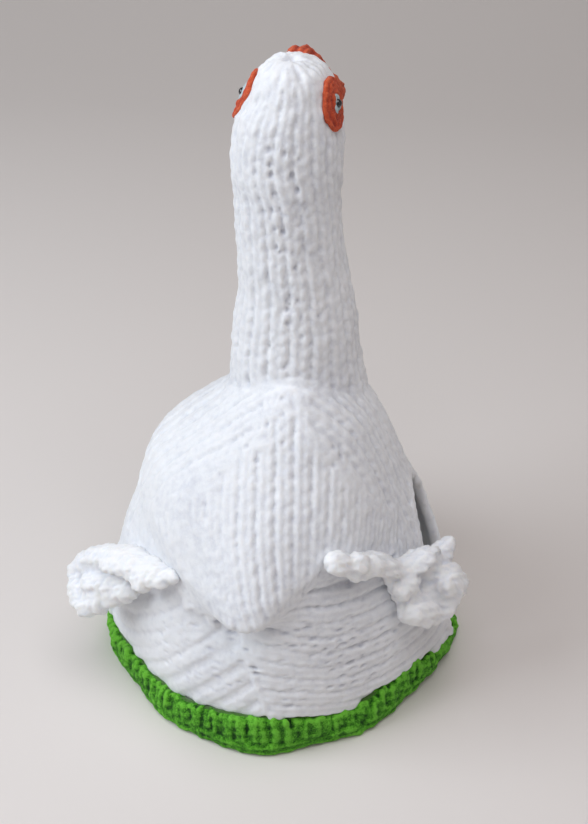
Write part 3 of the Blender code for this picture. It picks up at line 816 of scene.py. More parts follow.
def knit_body():
    """All white stitches of the body."""
    heights = np.concatenate([np.linspace(10, 130, 121), 161 - (np.linspace(31**0.5, 0.3, 60)) ** 2])
    squeeze = lambda z: read(BACK_SQUEEZE, z)
    wales = []
    angles = lines_across(lambda z: read(BACK_CENTRE, z), heights, -205 * DEG, 25 * DEG, 22, squeeze)
    add_wales(wales, heights, angles, keep_back, lambda a, z: WALE * squeeze(z))
    angles = lines_across(lambda z: read(FRONT_CENTRE, z), heights, -25 * DEG, 205 * DEG, 22, lambda z: 1.0)
    add_wales(wales, heights, angles, keep_front, lambda a, z: WALE)
    for k in range(-7, 8):
        for start, end in ((-90, 90), (90, 270)):
            angles = side_wale(SEAM_Y + (k + 0.5) * WALE, heights, start, end)
            add_wales(wales, heights, angles, keep_side, side_width)
    for side, drop, pitch, slope, depth, size in FLANKS:
        width = pitch / math.sqrt(1 + slope**2)
        for k in range(-1, 19):
            a, z = flank_wale(k, side, drop, pitch)
            if len(a) >= 6:
                line = body_wale(a, z, width)
                wales.append((Wale(line.points[::-1], line.up[::-1], width), flank_keeper(side), depth, size))
    # the seam under the tail
    z = np.linspace(70, 20, 80)
    on_seam = lambda p: common(p) & (p[..., 2] < 63)
    wales.append((body_wale(read(SEAM_LINE, z) * DEG, z, 8.2), on_seam, -1.5, 0.85))
    # the decreases, along both arms of the back and of the front
    behind = lambda p: common(p) & (p[..., 1] < SEAM_Y)
    ahead = lambda p: common(p) & (p[..., 1] > SEAM_Y)
    wales.append(ridge(lambda z: read(BACK_RIGHT_ARM, z), 100, 1.5, 7.0, behind))
    wales.append(ridge(lambda z: read(BACK_LEFT_ARM, z), 104, -1.5, 7.0, behind))
    for side in (1, -1):
        arm = lambda z: 90 - side * (90 - read(FRONT_RIGHT_ARM, z))
        wales.append(ridge(arm, 98, side * 1.0, 8.0, ahead, top=161))
    yarn = Yarn()
    for wale, keep, *relief in wales:
        depth, size = relief or (-1.0, 1.0)
        lay_wale(yarn, wale, ROW, keep, depth=depth, size=size, loose=0.8, phase=rng.uniform(0, 0.5))
    return yarn


def body_sheet(around, start, low, high, inset):
    """A grid of points inside the body's face, with its outward directions and faces."""
    angles = np.linspace(-180, 180, around)[:-1] * DEG
    levels = np.concatenate([np.linspace(start, 130, low), 161.2 - (np.linspace(31.2**0.5, 0.5, high)) ** 2])
    aa, zz = np.meshgrid(angles, levels)
    nn = normals(body, aa, zz, BODY_TOP)
    return body(aa, zz) - nn * inset, nn, ring_faces(*aa.shape)[2]


def uncut(points, quads, margin, neck_radius, below):
    """The middles of faces, and which faces the openings, the neck and the border leave."""
    middle = points.reshape(-1, 3)[quads].mean(1)
    a, z = angle_height(middle)
    above = z > border_height(a * DEG) - below
    return middle, ~in_opening(middle, margin) & ~under_neck(middle, neck_radius) & above


def thicken(piece, thickness):
    solid = piece.modifiers.new("cloth", "SOLIDIFY")
    solid.thickness, solid.offset = thickness * MM, -1
    return piece


def base_cloth(name, back):
    """The thin ground under the stitches of one panel."""
    outer, _, quads = body_sheet(217, 6, 50, 16, 2.4)
    middle, good = uncut(outer, quads, 2.2, 20, 3)
    good &= (middle[:, 1] <= SEAM_Y) if back else (middle[:, 1] >= SEAM_Y)
    verts, quads, _ = used_only(outer.reshape(-1, 3), quads[good])
    return thicken(add(name, make_mesh(name, verts, quads), base_wool), 1.5)


def sewn_edge(yarn, side):
    """A bound edge round a side opening, one wale of stitches that lies along it."""
    z = np.linspace(7, 96.6 if side > 0 else 106.6, 100)
    half = read(SPOUT_OPENING if side > 0 else HANDLE_OPENING, z)
    grid = np.linspace(-70, 70, 281) * DEG + (0 if side > 0 else math.pi)
    loops = []
    for way in (-1, 1):
        a = []
        for height, w in zip(z, half):
            y = body(grid, height)[:, 1]
            order = np.argsort(y)
            a.append(np.interp(SEAM_Y + way * (w + 1.2), y[order], grid[order]))
        loops.append(np.array(a))
    a = np.concatenate([loops[0], loops[1][::-1]])
    z = np.concatenate([z, z[::-1]])
    rim = body_wale(a, z, 6.0)
    lay_wale(yarn, rim, 5.0, lambda p: p[..., 2] > border_height(angle_height(p)[0] * DEG) + 1, depth=-0.6)
    fat = 2.2 + 0.25 * wobble(rim.points, 6, 31)
    yarn.strands((rim.points - 1.8 * unit(rim.up))[None], rim.up[None], fat[None], fat[None])


def body_depth(p):
    """How far points stand outside the body's face."""
    z = np.clip(p[..., 2], -5, 161.2)
    t = body_at(z)
    a = np.arctan2(p[..., 1] - t[..., 2], p[..., 0] - t[..., 1])
    foot = body(a, z)
    foot[..., 2] = z
    return ((p - foot) * normals(body, a, z, BODY_TOP)).sum(-1)


FILL = -1.7  # the height of the wool between the stitches


def filling():
    """A soft layer between the body's stitches, with its gaps, as one closed sheet."""
    surface, nn, quads = body_sheet(241, 4, 64, 22, 0)
    quads = quads[uncut(surface, quads, 1.6, 24, 1)[1]]
    outer, inner = (surface + nn * FILL).reshape(-1, 3), (surface + nn * (FILL - 2.4)).reshape(-1, 3)
    ends = sides_of(quads)
    _, first, times = np.unique(np.sort(ends, axis=1), axis=0, return_index=True, return_counts=True)
    rim = ends[first[times == 1]]
    n = len(outer)
    walls = np.stack([rim[:, 1], rim[:, 0], rim[:, 0] + n, rim[:, 1] + n], -1)
    return np.concatenate([outer, inner]), np.concatenate([quads, quads[:, ::-1] + n, walls])


white_yarn = knit_body()
sewn_edge(white_yarn, 1)
sewn_edge(white_yarn, -1)
cloth_back = base_cloth("cloth_back", True)
cloth_front = base_cloth("cloth_front", False)

# ---------------------------------------------------------------- neck and head
NECK_WALES = 18
VOXEL = 0.75


def neck_wale(k, lean):
    z = np.concatenate([np.linspace(128, 255, 128), np.linspace(256, 291.4, 70)])
    a = 2 * math.pi * k / NECK_WALES + lean * (z - 200) / 100
    p = neck(a, z)
    spacing = np.linalg.norm(neck(a + math.pi / NECK_WALES, z) - neck(a - math.pi / NECK_WALES, z), axis=1)
    crowded = (spacing < 4.9) & (z > 250)
    use = slice(None)
    if k % 2:  # every other wale ends where the head narrows, and its neighbours widen
        use = z < z[np.argmax(crowded)]
    else:
        spacing = np.where(crowded, spacing * 1.9, spacing)
    return Wale(p[use], normals(neck, a[use], z[use], NECK_TOP), np.minimum(spacing[use], 9.4))


def above_body(p):
    """True where a point of the neck is outside the body's face."""
    t = body_at(np.minimum(p[..., 2], 161.0))
    a = np.arctan2(p[..., 1] - t[..., 2], p[..., 0] - t[..., 1])
    face = body(a, np.minimum(p[..., 2], 161.0))
    r = np.hypot(p[..., 0] - t[..., 1], p[..., 1] - t[..., 2])
    edge = np.hypot(face[..., 0] - t[..., 1], face[..., 1] - t[..., 2])
    return (r > edge - 1.5) | (p[..., 2] > 160)


for k in range(NECK_WALES):
    phase = rng.uniform(0, 0.5)
    wale = neck_wale(k, 0.10)
    lay_wale(white_yarn, wale, 5.2, lambda p: above_body(p) & (p[..., 2] < 274), phase=phase, loose=1.2)
    lay_wale(white_yarn, wale, 5.2, lambda p: p[..., 2] >= 274, phase=phase, loose=1.2, depth=-1.7)


def sewn_ring(yarn):
    """The gathers where the neck is sewn on: plump yarn that fills the corner round its foot."""
    a = np.linspace(-math.pi, math.pi, 121)
    z = np.linspace(126, 164, 153)
    aa, zz = np.meshgrid(a, z)
    outside = neck(aa, zz) + unit(neck(aa, zz) * [1, 1, 0] - [11, 6, 0]) * 1.5
    foot = zz[np.argmax(above_body(outside), axis=0), 0]
    p = neck(a, foot + 0.6, -0.2)
    up = normals(neck, a, foot, NECK_TOP)
    p = p + up * (0.5 * wobble(p, 9, 21))[:, None]
    fat = 2.6 + 0.5 * wobble(p, 7, 22)
    yarn.strands(p[None], up[None], fat[None], fat[None])


sewn_ring(white_yarn)


def stuffing():
    """The closed smooth form under the stitches of the neck and head."""
    a = np.linspace(-math.pi, math.pi, 60, endpoint=False)
    aa, zz = np.meshgrid(a, np.concatenate([np.linspace(133, 270, 60), np.linspace(272, 291.4, 24)]))
    p = neck(aa, zz) - normals(neck, aa, zz, NECK_TOP) * 2.6
    ij, _, quads = ring_faces(*aa.shape)
    mesh = make_mesh("neck_stuffing", p, quads)
    bm = bmesh.new()
    bm.from_mesh(mesh)
    bm.verts.ensure_lookup_table()
    for ring in (ij[-1], ij[0][::-1]):
        bm.faces.new([bm.verts[i] for i in ring])
    bm.to_mesh(mesh)
    bm.free()
    mesh.shade_smooth()
    return add("neck_stuffing", mesh, base_wool)


def neck_filling():
    """The closed form between the neck's stitches."""
    z = np.concatenate([np.arange(133, 270, 1.5), np.linspace(270, 291.4, 30)])
    aa, zz = np.meshgrid(np.linspace(-math.pi, math.pi, 72, endpoint=False), z)
    nn = normals(neck, aa, zz, NECK_TOP)
    p = neck(aa, zz)
    lids = []
    for layer in (p - nn * -FILL, p - nn * (-FILL + 2.4)):
        middle = layer[-1].mean(0)
        rings = [middle + (layer[-1] - middle) * share for share in (0.7, 0.35, 0.02)]
        lids.append(np.concatenate([layer, rings]))
    return closed_band(*lids)


def neck_depth(p):
    z = np.clip(p[..., 2], 127, 291.4)
    t = neck_at(z)
    turn = HEAD_TURN * ease((z - 225) / 30)
    x, y = p[..., 0] - t[..., 1], p[..., 1] - t[..., 2]
    x, y = x * np.cos(turn) + y * np.sin(turn), -x * np.sin(turn) + y * np.cos(turn)
    depth = np.where(y > 0, t[..., 5], t[..., 4])
    a = np.arctan2(y / depth, x / t[..., 3])
    foot = neck(a, z)
    foot[..., 2] = z
    return ((p - foot) * normals(neck, a, z, NECK_TOP)).sum(-1)


def white_depth(p):
    """How far points stand outside the body and the neck together."""
    depth = np.where(p[:, 2] > 126, np.minimum(body_depth(p), neck_depth(p)), body_depth(p))
    return np.where((p[:, 2] > 288.5) | in_opening(p, 5.0), 0, depth)


def on_neck(p):
    return (p[:, 2] > 128) & (abs(neck_depth(p)) < abs(body_depth(p)))


def on_back(deg, z, radius, depth):
    return (*body(deg * DEG, z), 0.72 * radius, 1.1 * depth)


def on_throat(deg, z, radius, depth):
    return (*neck(deg * DEG, z), 0.62 * radius, 1.3 * depth)


def flank_dashes():
    """Short gaps that lie between the rows of both flanks."""
    pick = np.random.default_rng(78)
    dashes = []
    for column, deg in enumerate([*np.arange(-82, -40, 4.4), *np.arange(-128, -94, 4.6)]):
        for row in range(11 if deg > -90 else 8):
            z = 29 + 4.1 * (row + 0.5 * (column % 2)) + pick.normal() * 0.7
            radius, depth = pick.uniform(0.9, 1.5), pick.uniform(0.3, 1.2)
            if pick.random() > 0.4:
                dashes.append(on_back(deg + pick.normal(), z, radius, depth))
    return dashes


def nape_holes():
    """Small gaps between the legs of the stitches down the back of the neck, row by row."""
    pick = np.random.default_rng(77)
    holes = []
    for column, deg in enumerate(range(-104, -54, 10)):
        for row in range(19):
            z = 263 - 5.2 * (row + 0.5 * (column % 2)) + pick.normal() * 0.5
            turn = deg + 5.7 * (z - 200) / 100 + pick.normal() * 1.0
            radius, depth = pick.uniform(0.9, 1.4), pick.uniform(0.3, 1.3)
            if pick.random() > 0.25:
                holes.append(on_throat(turn, z, radius, depth))
    return holes


# dents where the knitting is open, by angle and height: along the decreases, beside the tail, in the nape
PITS = [on_back(*row) for row in (
    (-99.8, 156.5, 1.5, 1.6), (-95.2, 152, 1.5, 1.6), (-94, 147.5, 1.4, 1.4), (-92, 143, 1.3, 1.4),
    (-104, 148, 1.5, 1.4),
    (-102.5, 136, 1.3, 1.2), (-111.5, 139, 1.4, 1.2), (-116, 128, 1.4, 1.0), (-61.5, 139, 1.4, 1.4),
    (-57, 135, 1.4, 1.3),
    (-61.5, 132.5, 1.3, 1.2), (-104, 65.5, 2.4, 2.0), (-100.5, 61, 2.0, 1.8), (-75, 67.8, 1.8, 1.5),
    (-71.8, 85, 1.6, 1.5),
    (-57.5, 80.8, 1.8, 1.5), (-36.5, 82.8, 1.8, 2.0), (-92, 49, 1.8, 1.8), (-91, 46.5, 1.6, 1.6),
    (-63, 55, 1.6, 1.0),
    (-84, 60.5, 1.8, 1.2), (-80, 60, 1.8, 1.2), (-107, 52, 1.8, 1.0), (-104, 47, 1.8, 0.9),
    (-122, 82, 2.0, 1.6),
)] + [on_throat(*row) for row in (
    (-92, 262, 1.5, 1.4), (-75, 261, 1.4, 1.2), (-90, 252, 1.4, 1.3), (-68, 252, 1.4, 1.2),
    (-64, 246, 1.4, 1.2), (-91, 244, 1.3, 1.2),
    (-61, 240, 1.4, 1.2), (-97, 237, 1.3, 1.2), (-97, 230, 1.3, 1.1), (-90, 228, 1.3, 1.1),
    (-98, 221, 1.3, 1.1), (-81, 219, 1.3, 1.1),
    (-80, 212, 1.3, 1.1), (-84, 205, 1.3, 1.0), (-82, 198, 1.3, 1.0), (-80, 190, 1.3, 1.0),
    (-79, 182, 1.4, 1.1), (-76, 170, 1.4, 1.0),
)] + nape_holes() + flank_dashes()


def hidden_stitches(p):
    """Where loose fibres blur the stitches most: on the left flank and low on the left side."""
    low, left = ease((88 - p[:, 2]) / 25), ease((4 - p[:, 0]) / 16)
    flank = 0.7 * ease((-p[:, 0] - 2) / 24) * (1 - low) * ease((168 - p[:, 2]) / 6)
    return 0.12 + low * (0.30 + 0.45 * left) + flank


stuffed_neck = stuffing()
LOW_PART, LOW_NECK = 84, 205  # heights at which the panels and the neck are split into pieces
back = lambda p: (p[:, 1] <= SEAM_Y) & ~on_neck(p)
front = lambda p: (p[:, 1] > SEAM_Y) & ~on_neck(p)
quarters = [
    ("knit_back_low", lambda p: back(p) & (p[:, 2] <= LOW_PART)),
    ("knit_back_high", lambda p: back(p) & (p[:, 2] > LOW_PART)),
    ("knit_front_low", lambda p: front(p) & (p[:, 2] <= LOW_PART)),
    ("knit_front_high", lambda p: front(p) & (p[:, 2] > LOW_PART)),
    ("knit_neck", lambda p: on_neck(p) & (p[:, 2] <= LOW_NECK)),
    ("knit_head", lambda p: on_neck(p) & (p[:, 2] > LOW_NECK)),
]
white = felt(
    quarters, [white_yarn.solid(), filling(), neck_filling()], VOXEL, 1, white_wool, white_depth,
    fuzz=0.035, pits=PITS, calm=hidden_stitches,
)
knit_back, knit_front, knit_neck = white[:2], white[2:4], white[4:]

# ---------------------------------------------------------------- grass border
RUFFLE, RUFFLES, BORDER_PROUD = 1.0, 11, 1.2
RIBS = 92
# angle in degrees, how far the border stands out
BULGE = [
    (-150, 0), (-137, 1.8), (-122, 3.0), (-106, 3.0), (-97, 1.6), (-88, 1.0), (-76, 0), (-62, 1.2),
    (-50, 2.0), (-38, 0.3), (-28, -1.4), (-10, 0),
]
LIFT = [(-42, 0), (-26, 3.0), (-17, 3.0), (-8, 0)]  # where its edge is off the table


def border_face(a, z, proud=0.0):
    """The border's outer face; its lower edge waves a little."""
    height = border_height(a)
    deg = degrees_round(a)
    wave = RUFFLE * np.sin(RUFFLES * a) * np.clip(1 - z / height, 0, 1.2)
    bulge = sum(read(BULGE, deg + shift) for shift in (-7, -3.5, 0, 3.5, 7)) / 5
    wave = wave + bulge * np.clip(1.25 - z / height, 0, 1)
    return body(a, z, BORDER_PROUD + wave + proud)


def evenly_round(count):
    """Angles round the hem with equal lengths of cloth between them."""
    a = np.linspace(-math.pi, math.pi, 2001)
    p = body(a, 8.0)
    s = np.concatenate([[0], np.cumsum(np.linalg.norm(np.diff(p, axis=0), axis=1))])
    return np.interp(np.linspace(0, s[-1], count, endpoint=False), s, a)


def knit_border():
    """Upright ribs picked up along the white cloth, over a soft rolled lower edge."""
    yarn = Yarn()
    a = evenly_round(720)
    closed = np.append(a, a[0] + 2 * math.pi)
    up = normals(body, closed, np.full_like(closed, 9.0), 100.0)
    lift = read(LIFT, degrees_round(closed))
    for i, (z0, fat, out) in enumerate(((2.8, 2.8, -1.6), (6.0, 3.2, -1.7), (9.6, 2.6, -3.4))):
        z = np.maximum(z0 + lift + 0.5 * wobble(body(closed, 5.0), 14, 40 + i), 2.3)
        p = border_face(closed, z, out + 0.4 * wobble(body(closed, 9.0), 17, 60 + i))
        there = z + 2.6 < border_height(closed)
        edges = np.flatnonzero(np.diff(np.concatenate([[0], there.astype(int), [0]])))
        for start, stop in zip(edges[::2], edges[1::2]):
            if stop - start < 8:
                continue
            use = slice(start, stop)
            size = fat * (1 + 0.12 * wobble(p[use], 7, 80 + i))
            yarn.strands(p[use][None], up[use][None], size[None], size[None])
    b = evenly_round(RIBS * 2)
    for side in (0, 1):
        aa = b[side::2] - side * 0.42 * (b[1] - b[0])
        m = len(aa)
        deg = np.degrees(aa)
        right = np.clip((deg + 75) / 20, 0, 1) * np.clip((-5 - deg) / 10, 0, 1)
        step = np.where(np.arange(m) % 2 == 0, 1.0, -0.2)
        top = border_height(aa) + 0.2 - 1.2 * right + 1.8 * right * step + 0.6 * rng.normal(size=m)
        low = np.minimum(3.6 + read(LIFT, deg) + rng.uniform(0, 3.0, m), top - 5)
        f = np.linspace(0, 1, 10)
        z = low[:, None] + (top - low)[:, None] * f
        sway = (0.012 if side else -0.012) * np.sin(math.pi * f) + 0.006 * rng.normal(size=(m, 1)) * f
        arch = np.sin(math.pi * np.clip(0.12 + 0.86 * f, 0, 1)) ** 0.8
        out = -1.7 + 1.5 * arch + 0.5 * rng.normal(size=(m, 1))
        p = border_face(aa[:, None] + sway, z, out)
        lean = normals(body, aa[:, None] + sway, z, 150.0)
        thick = np.sin(math.pi * np.clip(f, 0.04, 0.96)) ** 0.5
        fat = 1.62 * (0.7 + 0.3 * thick) * (1 + 0.16 * rng.normal(size=(m, 1)))
        yarn.strands(p, lean, fat, fat)
    aa, f = np.meshgrid(closed[:-1:3], np.linspace(0, 1, 12))
    z = 0.6 + (border_height(aa) - 1.4) * f
    layer = closed_band(border_face(aa, z, -2.3), border_face(aa, z, -4.4))
    under = lambda p: body_depth(p) - BORDER_PROUD
    # the yarn is matted low down and at the left, and its ribs stand clear on top at the right
    matted = lambda p: 0.15 + 0.5 * np.maximum(ease((-p[:, 0] - 20) / 25), ease((9 - p[:, 2]) / 6))
    return felt(
        [("knit_border", every)], [yarn.solid(), layer], VOXEL, 2, green_wool, under,
        floor=-2.9, tufts=(0.3, 6.0), fuzz=0.09, lowest=0.05, calm=matted,
    )


def border_ground():
    """The band of cloth behind the ridges, a darker green than the yarn: painted shade in the gaps between the
    ridges.
    """
    a = np.linspace(-math.pi, math.pi, 161)[:-1]
    f = np.linspace(0, 1, 6)[:, None]
    z = 0.4 + (border_height(a) - 0.6 - 0.4) * f
    outer = border_face(a, z, -2.2)
    mesh = make_mesh("cloth_border", outer, ring_faces(*outer.shape[:2])[2])
    return thicken(add("cloth_border", mesh, green_painted_shade), 2.4)


border_knit = knit_border()[0]
border_cloth = border_ground()

# ---------------------------------------------------------------- wings
def wing_sheet(wing, along, out):
    """The middle of a wing's cloth: along x out points from the root to the feather tips."""
    share = np.linspace(0, 1, along)
    rows = smooth_table(wing, share * (len(wing) - 1))
    sheet = np.zeros((along, out, 3))
    grid = np.linspace(-math.pi, 0, 721)
    for i, (x, z, length, lift, curl, lean) in enumerate(rows):
        a = float(np.interp(x, body(grid, z)[:, 0], grid))
        outward = normals(body, np.array(a), np.array(z), 160.0)
        upward = unit(np.array([0, 0, 1.0]) - outward * outward[2])
        sideways = np.cross(upward, outward) * math.copysign(1, x)
        lean = math.radians(lean)
        away = outward * math.cos(lean) + sideways * math.sin(lean)
        tip = abs(math.sin(math.pi * FEATHERS * share[i]))
        length = length * (1 - FEATHER_DEPTH * (1 - tip**FEATHER_ROUND))
        p = body(a, z) - outward * 2.5
        step = (length + 2.5) / (out - 1)
        sheet[i, 0] = p
        for k in range(out - 1):
            turn = math.radians(lift + curl * ((k + 0.5) / (out - 1)) ** CURL_LATE)
            p = p + (away * math.cos(turn) + upward * math.sin(turn)) * step
            sheet[i, k + 1] = p
    return sheet


def soften(sheet, rounds):
    """Evens out a sheet of points, keeping its root."""
    for _ in range(rounds):
        inner = sheet.copy()
        inner[1:-1, 1:] = 0.5 * sheet[1:-1, 1:] + 0.25 * (sheet[:-2, 1:] + sheet[2:, 1:])
        inner[:, 1:-1] = 0.5 * inner[:, 1:-1] + 0.25 * (inner[:, :-2] + inner[:, 2:])
        sheet = inner
    return sheet


def sheet_normals(sheet):
    du, dv = np.gradient(sheet, axis=0), np.gradient(sheet, axis=1)
    return unit(np.cross(du, dv))


# Soft lumps of the wings, from one point to another in mm, and their radius
RIGHT_LOBES = [
    (33.5, -66, 100.5, 35, -65, 100, 4.7), (42, -62, 97.5, 43, -61.5, 97, 4.6),
    (49.5, -56, 92.5, 50.5, -55, 91.5, 4.4),
    (51.5, -52, 88.5, 56, -47.5, 80, 2.6),
    (56, -47.5, 80, 61, -46, 68, 3.0), (62.5, -46, 81.5, 66, -46.5, 77, 3.4), (65, -48, 77, 63, -50, 74.5, 4.4),
    (74, -34, 77.5, 80, -29, 80.5, 4.6), (80, -29, 81, 82.5, -27, 83.5, 2.4),
    (82, -37, 71.5, 84.5, -35.5, 67, 6.6), (85, -30, 64, 86, -31, 60.5, 5.0),
    (78, -34, 70, 76, -37, 64, 6.0), (68, -47, 61, 72, -44.5, 57.5, 6.8), (75, -40, 58, 72, -40, 65, 4.6),
    (61, -46, 68, 66, -45, 58, 3.4), (65, -46, 74, 69, -45, 63, 3.2),
]
LEFT_LOBES = [
    (-37, -61, 84, -44, -58, 81.5, 3.0), (-44, -58, 81.5, -51, -55, 80.5, 3.4),
    (-58, -49.5, 79, -52, -58, 76.5, 4.2),
    (-58, -49, 78.5, -66, -42, 75, 4.4), (-66, -42, 75, -74, -37, 70.5, 4.8),
    (-74, -37, 70.5, -82, -32, 64, 5.2),
    (-82, -32, 64, -87, -30, 56, 5.6), (-86, -35, 54, -85, -40, 50, 5.6), (-81, -45.5, 50, -75, -47, 53, 4.9),
    (-70, -40, 66, -74, -41, 55, 4.4), (-78, -38, 62, -80, -41, 55, 4.6), (-64, -46, 68, -70, -45, 59, 4.0),
    (-60, -50, 66, -70, -46, 57, 5.2),
    (-68, -47, 64, -78, -42.5, 61, 5.2), (-74, -46, 57, -78, -45, 54, 5.0),
]


LUMP_PUFF = 1.15  # how much rounder the lumps are than listed


def knit_wing(name, wing, lobes):
    """A puffy frill: a soft core under rounded lumps."""
    along, out = 49, 21
    sheet = soften(wing_sheet(wing, along, out), 2)
    flat = sheet_normals(sheet)
    u = np.linspace(0, 1, along)[:, None]
    v = np.linspace(0, 1, out)[None]
    edge = np.minimum(np.minimum(u, 1 - u) * 9, (1 - v) * 4).clip(0, 1) ** 0.5
    ij = np.arange(along * out).reshape(along, out)
    n = along * out
    faces = np.stack([ij[:-1, :-1], ij[1:, :-1], ij[1:, 1:], ij[:-1, 1:]], -1).reshape(-1, 4)
    rim = np.concatenate([ij[:, 0], ij[-1, 1:], ij[::-1, -1][1:], ij[0, ::-1][1:-1]])
    near = np.roll(rim, -1)
    sides = np.stack([rim, near, near + n, rim + n], -1)
    quads = np.concatenate([faces[:, ::-1], faces + n, sides])

    def slab(thick):
        half = flat * thick[..., None]
        return np.concatenate([(sheet - half).reshape(-1, 3), (sheet + half).reshape(-1, 3)])

    core = add(name + "_core", make_mesh(name + "_core", slab(0.5 + 0.5 * edge), quads), white_wool)
    yarn = Yarn()
    t = np.linspace(-1, 1, 13)
    for x0, y0, z0, x1, y1, z1, radius in lobes:
        radius *= LUMP_PUFF
        a, b = np.array([x0, y0, z0], float), np.array([x1, y1, z1], float)
        way, half = unit(b - a), np.linalg.norm(b - a) / 2
        line = (a + b) / 2 + way * (t[:, None] * (half + radius))
        far = np.maximum(abs(t) * (half + radius) - half, 0) / radius
        fat = radius * np.sqrt(np.maximum(1 - far**2, 0.0004))
        up = np.broadcast_to(np.cross(way, [0.3, 0.2, 0.9]), line.shape)
        yarn.strands(line[None], up[None], fat[None], fat[None])
    return [core] + felt(
        [(name + "_knit", every)], [yarn.solid(), (slab(1.5 + 2.1 * edge), quads)], 0.8, 4, fluff_painted_light,
        tufts=(0.7, 6.5), fuzz=0.42, calm=lambda p: np.full(len(p), 0.7),
    )


wing_left = knit_wing("wing_l", LEFT_WING, LEFT_LOBES)
wing_right = knit_wing("wing_r", RIGHT_WING, RIGHT_LOBES)

# ---------------------------------------------------------------- eyes and bill
def head_oval(side, half_angle, half_height, lift, around):
    """Points of an oval round an eye's middle, lifted off the head."""
    a = EYE_ANGLES[side] + half_angle * np.cos(around)
    z = EYE_Z + half_height * np.sin(around)
    up = normals(neck, a, z, 291.0)
    return neck(a, z) + up * lift, up


def crochet_disc(name, side, half_angle, half_height, lift, rings, width, row, material, size):
    """An oval of chain stitches worked round and round, on a thin disc."""
    yarn = Yarn()
    around = np.linspace(0, 2 * math.pi, 73)
    for share in rings:
        p, up = head_oval(side, half_angle * share, half_height * share, lift, around)
        lay_wale(yarn, Wale(p, up, width), row, every, depth=0.0, size=size, loose=1.3)
    disc = [
        np.array([
            head_oval(side, half_angle * k, half_height * k, lift - 0.6 * size - under, around[:-1])[0]
            for k in (0.004, 0.35, 0.7, 0.96)
        ])
        for under in (0.0, 1.0)
    ]
    return felt([(name, every)], [yarn.solid(), closed_band(*disc)], 0.42, 1, material, fuzz=0.12)


def bead(name, side, lift):
    p, up = head_oval(side, 0.0, 0.0, lift, np.array([0.0]))
    mesh = bpy.data.meshes.new(name)
    bm = bmesh.new()
    bmesh.ops.create_uvsphere(bm, u_segments=32, v_segments=20, radius=1.8 * MM)
    bm.to_mesh(mesh)
    bm.free()
    mesh.shade_smooth()
    made = add(name, mesh, bead_gloss)
    made.location = Vector(p[0] * MM)
    made.rotation_euler = Vector(up[0]).to_track_quat("Z", "Y").to_euler()
    return made


def bill_surface(a, d):
    """The bill's face: a goes round it and d is the distance ahead of the head's axis."""
    rows = np.array(BILL_SECTIONS)
    fine = np.linspace(0, len(rows) - 1, 400)
    t = smooth_table(BILL_SECTIONS, np.interp(d, smooth_table(BILL_SECTIONS, fine)[:, 0], fine))
    axis = (neck(0.0, EYE_Z) + neck(math.pi, EYE_Z)) / 2
    ahead = np.array([-math.sin(HEAD_TURN), math.cos(HEAD_TURN), 0])
    across = np.array([math.cos(HEAD_TURN), math.sin(HEAD_TURN), 0])
    p = axis + ahead * t[..., :1] + across * (t[..., 4] + t[..., 2] * np.cos(a))[..., None]
    p[..., 2] = t[..., 1] + t[..., 3] * np.sin(a)
    return p


BILL_WALES, BILL_START, BILL_END = 11, 10, 63.4


def outside_head(p):
    t = neck_at(np.clip(p[..., 2], 130, 292))
    out = np.hypot((p[..., 0] - t[..., 1]) / t[..., 3], (p[..., 1] - t[..., 2]) / t[..., 5])
    return (p[..., 2] > 291) | (out > 0.93)


def knit_bill():
    yarn = Yarn(7)
    d = np.linspace(BILL_START, BILL_END, 90)
    e = 0.05
    for k in range(BILL_WALES):
        a = 2 * math.pi * k / BILL_WALES + 0.2 + 0 * d
        p = bill_surface(a, d)
        around = bill_surface(a + e, d) - bill_surface(a - e, d)
        after, before = (bill_surface(a, np.clip(d + step, BILL_START, BILL_END)) for step in (0.3, -0.3))
        up = unit(np.cross(around, after - before)) * -1
        centre = p - bill_surface(a + math.pi, d)
        up = np.where((up * centre).sum(-1, keepdims=True) < 0, -up, up)
        spacing = np.linalg.norm(around, axis=-1) / (2 * e) * 2 * math.pi / BILL_WALES
        wale, depth = Wale(p, up, np.clip(spacing, 2.5, 7.5)), -1.7 + 1.5 * max(math.sin(a[0]), 0)
        lay_wale(yarn, wale, 4.8, outside_head, depth=depth, size=0.95, loose=1.3, phase=rng.uniform(0, 0.4))
    a = np.linspace(-math.pi, math.pi, 41)[:-1]
    p = bill_surface(*np.meshgrid(a, np.concatenate([np.linspace(9, 60, 34), [62, 63.3]])))
    centre = p.mean(1, keepdims=True)
    p = centre + (p - centre) * (1 - 1.5 / np.maximum(np.linalg.norm(p - centre, axis=-1, keepdims=True), 2.5))
    p = np.concatenate([0 * p[:1] + p[:1].mean(1, keepdims=True), p, 0 * p[:1] + p[-1:].mean(1, keepdims=True)])
    inner = (p.reshape(-1, 3), ring_faces(*p.shape[:2])[2])
    return felt([("knit_bill", every)], [yarn.solid(), inner], 0.6, 1, orange_wool, fuzz=0.08)


bill_pieces = knit_bill()
eyes = {}
for side in ("left", "right"):
    eyes["eye_patch_" + side] = crochet_disc(
        "patch_" + side, side, math.radians(21.5), 9.6, 0.8, (0.24, 0.55, 0.87), 4.6, 3.3, orange_wool, 0.62
    )
    eyes["iris_" + side] = crochet_disc(
        "iris_ring_" + side, side, math.radians(10.5), 4.6, 1.3, (0.58,), 3.4, 2.2, blue_wool, 0.5
    )
    eyes["pupil_" + side] = [bead("bead_" + side, side, 1.9)]

# ---------------------------------------------------------------- stage
def soft_light(name, location, target, size, power, colour):
    lamp = bpy.data.lights.new(name, "AREA")
    lamp.shape, lamp.size, lamp.size_y = "RECTANGLE", size, size
    lamp.energy, lamp.color = power, colour
    made = bpy.data.objects.new(name, lamp)
    made.location = location
    made.rotation_euler = (Vector(target) - Vector(location)).to_track_quat("-Z", "Y").to_euler()
    bpy.context.scene.collection.objects.link(made)
    return made


